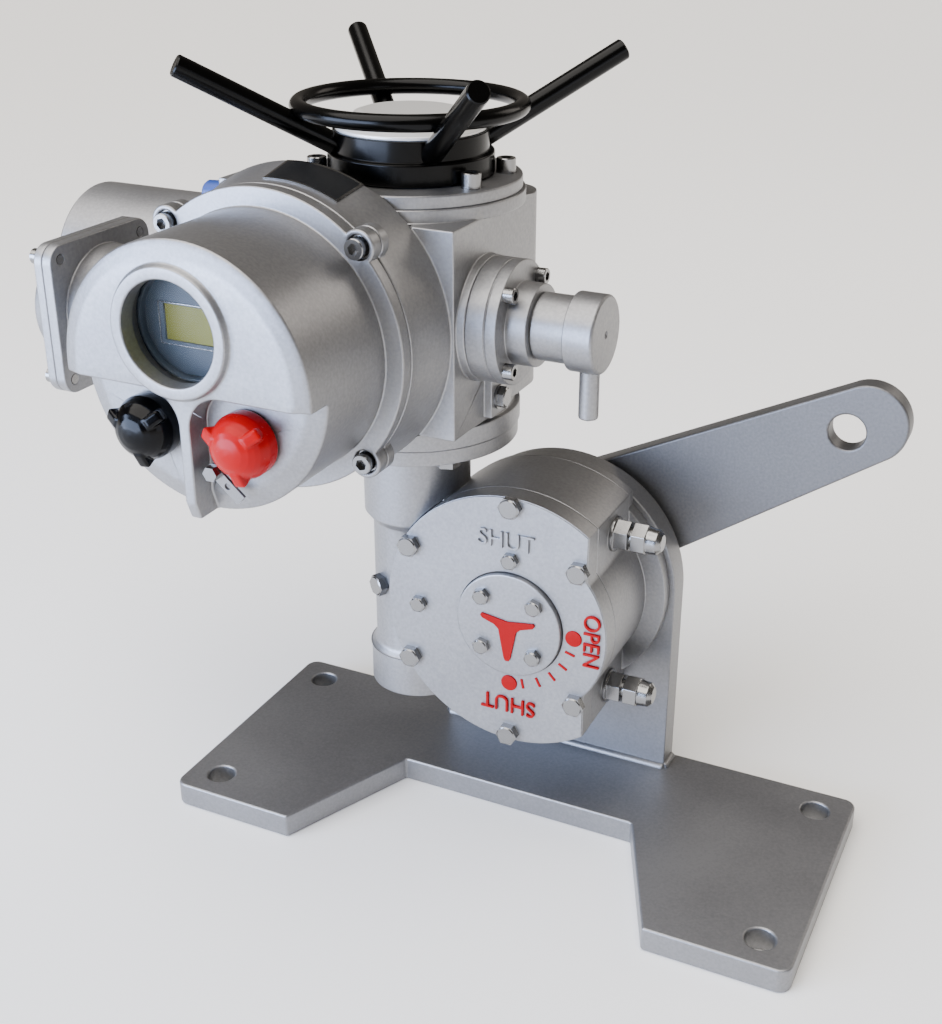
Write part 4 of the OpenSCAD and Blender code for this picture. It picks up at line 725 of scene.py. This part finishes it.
def lathed(name, profile):
    """A body of revolution about Z: a disc is extruded and resized up a profile of radii and heights."""
    deselect_all()
    radius, height = profile[0]
    bpy.ops.mesh.primitive_circle_add(vertices=KNOB_SIDES, radius=radius * MM, fill_type="NGON",
                                      location=(0, 0, height * MM))
    piece = bpy.context.object
    piece.name = name
    bpy.ops.object.mode_set(mode="EDIT")
    bpy.ops.mesh.select_all(action="SELECT")
    for next_radius, next_height in profile[1:]:
        lift = (next_height - height) * MM
        bpy.ops.mesh.extrude_region_move(TRANSFORM_OT_translate={"value": (0, 0, lift)})
        bpy.ops.transform.resize(value=(next_radius / radius, next_radius / radius, 1))
        radius, height = next_radius, next_height
    bpy.ops.mesh.select_all(action="SELECT")
    bpy.ops.mesh.normals_make_consistent(inside=False)
    bpy.ops.object.mode_set(mode="OBJECT")
    bpy.ops.object.transform_apply(location=True, rotation=True, scale=True)
    return piece


def star_knob(body, x, finish, node):
    """A domed knob with three lobes and its stem, melded into one skin and named for its body."""
    knob = lathed(body, KNOB_PROFILE_MM)
    parts = [knob]
    for degrees in LOBE_ANGLES:
        angle = math.radians(degrees)
        deselect_all()
        bpy.ops.mesh.primitive_cube_add(
            size=1, rotation=(0, LOBE_LEAN, angle),
            location=(LOBE_RADIUS * math.cos(angle), LOBE_RADIUS * math.sin(angle), LOBE_HEIGHT))
        lobe = bpy.context.object
        lobe.scale = LOBE_SIZE
        bpy.ops.object.transform_apply(location=True, rotation=True, scale=True)
        soften_edges(lobe, LOBE_EDGE, segments=3)
        parts.append(lobe)
    deselect_all()
    bpy.ops.mesh.primitive_cylinder_add(vertices=32, radius=STEM_RADIUS, depth=STEM_LENGTH,
                                        location=(0, 0, STEM_MIDDLE))
    bpy.ops.object.transform_apply(location=True)
    parts.append(bpy.context.object)
    deselect_all()
    for part in parts:
        part.select_set(True)
    bpy.context.view_layer.objects.active = knob
    bpy.ops.object.join()
    knob.data.remesh_voxel_size = VOXEL
    bpy.ops.object.voxel_remesh()
    bpy.ops.object.modifier_add(type="SMOOTH")
    knob.modifiers[-1].iterations = SMOOTHING_PASSES
    apply_last_modifier(knob)
    bpy.ops.object.shade_smooth()
    knob.rotation_euler = (math.radians(90), 0, 0)
    knob.location = (x, KNOB_BACK, KNOB_Z)
    bpy.ops.object.transform_apply(location=True, rotation=True)
    knob.data.materials.clear()
    knob.data.materials.append(finish)
    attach(knob, body)
    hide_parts(node)
    print(knob.name, len(knob.data.polygons), "faces")


star_knob("open_close_knob", DRUM_X - KNOB_FROM_MIDDLE, black_plastic, "control_knob")
star_knob("mode_knob", DRUM_X + KNOB_FROM_MIDDLE, red_plastic, "selector_knob")

# %% [markdown]
# ## Behind the window
# A sleeve lines the bore between the glass and the display. Its dark finish is painted shade for the shaded
# metal of the bore. It could be a ring cut out of a solid cylinder, but an open cylinder that Solidify gives
# its wall has even faces and stays easy to change.

# %% Line the window
WINDOW_X, _, WINDOW_Z = middle_of("window_glass")
SLEEVE_RADIUS = 40.4 * MM
SLEEVE_DEPTH = 6.2 * MM
SLEEVE_WALL = 2 * MM
SLEEVE_EDGE = 0.5 * MM
SLEEVE_MIDDLE = -0.1965

deselect_all()
bpy.ops.mesh.primitive_cylinder_add(vertices=96, radius=SLEEVE_RADIUS, depth=SLEEVE_DEPTH,
                                    end_fill_type="NOTHING", rotation=(math.radians(90), 0, 0),
                                    location=(WINDOW_X, SLEEVE_MIDDLE, WINDOW_Z))
sleeve = bpy.context.object
sleeve.name = "window_sleeve_shaded_dark"
bpy.ops.object.transform_apply(location=True, rotation=True)
bpy.ops.object.modifier_add(type="SOLIDIFY")
sleeve.modifiers[-1].thickness = SLEEVE_WALL
sleeve.modifiers[-1].offset = -1
apply_last_modifier(sleeve)
soften_edges(sleeve, SLEEVE_EDGE)
# The sleeve's dark slate finish is painted shade: the bore's own metal lies in shade behind the glass.
sleeve.data.materials.append(dark_panel_and_bore_shade)
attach(sleeve, "frame")
print("sleeve measures", [round(d / MM, 1) for d in sleeve.dimensions])

# %% [markdown]
# A thin bright frame stands round the liquid crystal panel. Four bars would meet in visible joints, so the
# frame is made as one: a plane of its outer size is inset by the width of its band, the inner face is
# deleted, and Solidify gives the band its thickness.

# %% Frame the display
SURROUND_PLACE = (middle_of("display_panel")[0], -0.1934, 0.4876)
SURROUND_SIZE = (64.4 * MM, 31 * MM, 1)
SURROUND_BAND = 0.8 * MM
SURROUND_EDGE = 0.2 * MM

deselect_all()
bpy.ops.mesh.primitive_plane_add(size=1, rotation=(math.radians(90), 0, 0), location=SURROUND_PLACE)
surround = bpy.context.object
surround.name = "display_surround"
surround.scale = SURROUND_SIZE
bpy.ops.object.transform_apply(location=True, rotation=True, scale=True)
bpy.ops.object.mode_set(mode="EDIT")
bpy.ops.mesh.select_all(action="SELECT")
bpy.ops.mesh.inset(thickness=SURROUND_BAND, use_boundary=True)
bpy.ops.mesh.delete(type="FACE")
bpy.ops.object.mode_set(mode="OBJECT")
bpy.ops.object.modifier_add(type="SOLIDIFY")
surround.modifiers[-1].thickness = SURROUND_BAND
surround.modifiers[-1].offset = 0
apply_last_modifier(surround)
soften_edges(surround, SURROUND_EDGE)
surround.data.materials.append(stainless)
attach(surround, "frame")
print("display frame measures", [round(d / MM, 1) for d in surround.dimensions])

# %% [markdown]
# ## Finish

# %% Finish
import json
